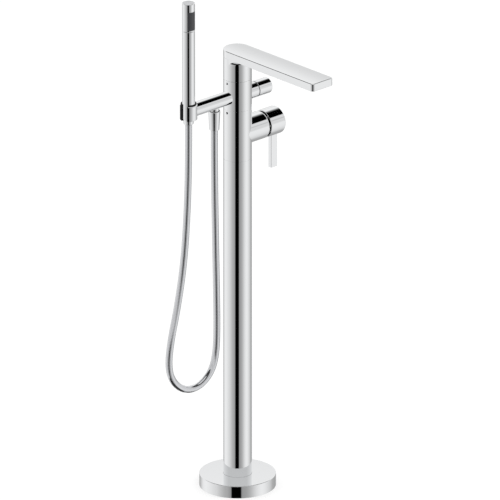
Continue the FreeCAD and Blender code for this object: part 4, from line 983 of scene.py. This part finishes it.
# ---- studio -----------------------------------------------------------------------------------------------------
# What polished chrome mirrors all round, level with the floor and below it: (degrees from the camera, grey as seen).
ROUND_THE_ROOM = [
    (-180, 150), (-150, 182), (-127, 230), (-111, 236), (-98, 231), (-87, 226), (-76, 218), (-66, 212), (-57, 199),
    (-48, 186), (-40, 173), (-31, 166), (-23, 150), (-19.5, 140), (-18, 2), (10.5, 2), (12, 140), (17, 152),
    (25, 157), (33, 168), (41.5, 184), (50, 202), (59, 218), (68.5, 229), (78, 234), (89, 230), (101, 219),
    (114, 205), (131, 172), (157, 158), (180, 150),
]


# Only these show in the chrome round them, which keeps all other stripes as plain as the photograph's.
# The black shade pieces of the mixer's gap are among them, so the chrome round the gap mirrors their painted shade.
MIRRORED_PIECES = ("rosette_cover", "lower_tube", "mixer_module", "mixer_cap", "cap_ring", "sleeve_pad")


class BATHFILLER_OT_stage(bpy.types.Operator):
    """Sets the pale floor and the soft studio light"""

    bl_idname = "bath_filler.stage"
    bl_label = "Stage"

    def execute(self, context):
        context.scene.view_settings.view_transform = "Standard"
        context.scene.world = studio_surroundings(context.scene.bath_filler_colours)
        bpy.ops.object.select_all(action="DESELECT")
        bpy.ops.mesh.primitive_plane_add(size=60, location=(0, 0, 0))
        floor = bpy.context.object
        floor.name = "studio_floor"
        floor.data.materials.append(pale_floor())
        floor.visible_glossy = False
        bpy.ops.object.light_add(type="AREA", location=(-1.4, -2.2, 3.0))
        lamp = bpy.context.object
        lamp.name = "soft_lamp"
        lamp.rotation_euler = (Vector((0, 0, 0.5)) - lamp.location).to_track_quat("-Z", "Y").to_euler()
        lamp.data.shape = "DISK"
        lamp.data.size = 2.5
        lamp.data.energy = 18
        lamp.visible_glossy = False
        for piece in bpy.data.objects:
            if piece.type == "MESH" and piece.name not in MIRRORED_PIECES:
                piece.visible_glossy = False
        return {"FINISHED"}


def pale_floor():
    """Plain white floor. Part of its white is its own, so that the object's shadow on it stays faint."""
    material, tree = empty_material("pale_floor")
    paint = add_node(tree, "ShaderNodeBsdfDiffuse", {"Color": (0.5, 0.5, 0.5, 1)})
    glow = add_node(tree, "ShaderNodeEmission", {"Color": (1, 1, 1, 1), "Strength": 0.55})
    dark = add_node(tree, "ShaderNodeEmission", {"Color": (0, 0, 0, 1), "Strength": 0.0})
    seen = seen_directly(tree)
    own = add_node(tree, "ShaderNodeMixShader", {0: seen, 1: dark.outputs[0], 2: glow.outputs[0]})
    both = add_node(tree, "ShaderNodeAddShader", {0: paint.outputs[0], 1: own.outputs[0]})
    add_node(tree, "ShaderNodeOutputMaterial", {"Surface": both.outputs[0]})
    return material


def seen_directly(tree):
    """1 for what the camera sees, also in metal and through glass, and 0 for light on the object."""
    path = add_node(tree, "ShaderNodeLightPath").outputs
    either = maths(tree, "MAXIMUM", path["Is Camera Ray"], path["Is Glossy Ray"])
    return maths(tree, "MAXIMUM", either, path["Is Transmission Ray"])


def smooth_step(tree, value, start, end):
    """0 before start and 1 after end, with a soft change between them."""
    return add_node(
        tree, "ShaderNodeMapRange", {"Value": value, "From Min": start, "From Max": end},
        interpolation_type="SMOOTHSTEP",
    ).outputs["Result"]


def times(tree, first, second):
    return maths(tree, "MULTIPLY", first, second)


def studio_surroundings(colours):
    """A white studio with grey walls and dark screens, which is what gives chrome its stripes.

    The camera sees plain white. Metal and glass also see the screens, and all other light is even and soft.
    """
    world = bpy.data.worlds.new("soft_studio")
    world.use_nodes = True
    tree = world.node_tree
    tree.nodes.clear()
    away, right = camera_directions()
    direction = add_node(tree, "ShaderNodeTexCoord").outputs["Generated"]
    across = add_node(tree, "ShaderNodeVectorMath", {0: direction, 1: right}, operation="DOT_PRODUCT").outputs["Value"]
    towards = add_node(tree, "ShaderNodeVectorMath", {0: direction, 1: -away}, operation="DOT_PRODUCT").outputs["Value"]
    height = add_node(tree, "ShaderNodeSeparateXYZ", {0: direction}).outputs["Z"]
    share = maths(tree, "MULTIPLY_ADD", maths(tree, "ARCTAN2", across, towards), 0.5 / math.pi, 0.5)
    walls = add_node(tree, "ShaderNodeValToRGB", {"Fac": share})
    ramp = walls.color_ramp
    while len(ramp.elements) < len(ROUND_THE_ROOM):
        ramp.elements.new(1.0)
    mirror = sum(colours.chrome) / 3
    for stop, (angle, grey) in zip(ramp.elements, ROUND_THE_ROOM):
        level = min(1.0, linear("#%02X%02X%02X" % (grey, grey, grey))[0] / mirror)
        stop.position = angle / 360 + 0.5
        stop.color = (level, level, level, 1)
    # Overhead: bright beyond the object, and a dark screen above the camera and over the object.
    beyond = spread(tree, towards, 0.99, 0.74, -0.9, 0.2)
    # A slightly darker band at the height that the far edge of the spout's top mirrors.
    band = times(tree, smooth_step(tree, height, 0.24, 0.31), smooth_step(tree, height, 0.41, 0.33))
    beyond = times(tree, beyond, maths(tree, "MULTIPLY_ADD", band, -0.22, 1.0))
    back = maths(tree, "DIVIDE", towards, height)
    screen = times(tree, smooth_step(tree, height, 0.575, 0.605), smooth_step(tree, height, 0.93, 0.88))
    screen = times(tree, screen, smooth_step(tree, back, -1.3, -0.68))
    overhead = times(tree, beyond, maths(tree, "SUBTRACT", 1.0, screen))
    # A dark cloth under the object, which shows where the spout curves into its neck.
    under = smooth_step(tree, height, -0.82, -0.85)
    floor_side = mixed(tree, under, walls.outputs["Color"], (0.003, 0.003, 0.003, 1))
    room = mixed(tree, smooth_step(tree, height, -0.16, 0.02), floor_side, overhead)
    camera_ray = add_node(tree, "ShaderNodeLightPath").outputs["Is Camera Ray"]
    background = mixed(tree, camera_ray, room, (1, 1, 1, 1))
    soft = spread(tree, height, 0.72, 1.05, -0.2, 1.0)
    final = mixed(tree, seen_directly(tree), soft, background)
    shader = add_node(tree, "ShaderNodeBackground", {"Color": final, "Strength": 1.0})
    add_node(tree, "ShaderNodeOutputWorld", {"Surface": shader.outputs[0]})
    return world


# ---- panel and registration -------------------------------------------------------------------------------------
STEPS = (
    BATHFILLER_OT_camera, BATHFILLER_OT_finishes, BATHFILLER_OT_hose, BATHFILLER_OT_rosette, BATHFILLER_OT_column,
    BATHFILLER_OT_mixer, BATHFILLER_OT_mixer_handle, BATHFILLER_OT_diverter, BATHFILLER_OT_spout, BATHFILLER_OT_arm,
    BATHFILLER_OT_hand_shower, BATHFILLER_OT_stage,
)


class BATHFILLER_PT_panel(bpy.types.Panel):
    """Lists the sizes, the colours and the steps of the bath filler"""

    bl_idname = "BATHFILLER_PT_panel"
    bl_label = "Bath filler"
    bl_space_type = "VIEW_3D"
    bl_region_type = "UI"
    bl_category = "Bath filler"

    def draw(self, context):
        for group in (context.scene.bath_filler_sizes, context.scene.bath_filler_colours):
            box = self.layout.box()
            for name in group.__annotations__:
                box.prop(group, name)
        for step in STEPS:
            self.layout.operator(step.bl_idname)


CLASSES = (BathFillerSizes, BathFillerColours, *STEPS, BATHFILLER_PT_panel)


def register():
    for cls in CLASSES:
        bpy.utils.register_class(cls)
    bpy.types.Scene.bath_filler_sizes = bpy.props.PointerProperty(type=BathFillerSizes)
    bpy.types.Scene.bath_filler_colours = bpy.props.PointerProperty(type=BathFillerColours)


def unregister():
    del bpy.types.Scene.bath_filler_colours
    del bpy.types.Scene.bath_filler_sizes
    for cls in reversed(CLASSES):
        bpy.utils.unregister_class(cls)


def main():
    """Runs every step in order."""
    register()
    bpy.ops.bath_filler.camera()
    bpy.ops.bath_filler.finishes()
    bpy.ops.bath_filler.hose()
    bpy.ops.bath_filler.rosette()
    bpy.ops.bath_filler.column()
    bpy.ops.bath_filler.mixer()
    bpy.ops.bath_filler.mixer_handle()
    bpy.ops.bath_filler.diverter()
    bpy.ops.bath_filler.spout()
    bpy.ops.bath_filler.arm()
    bpy.ops.bath_filler.hand_shower()
    bpy.ops.bath_filler.stage()


if __name__ == "__main__":
    main()
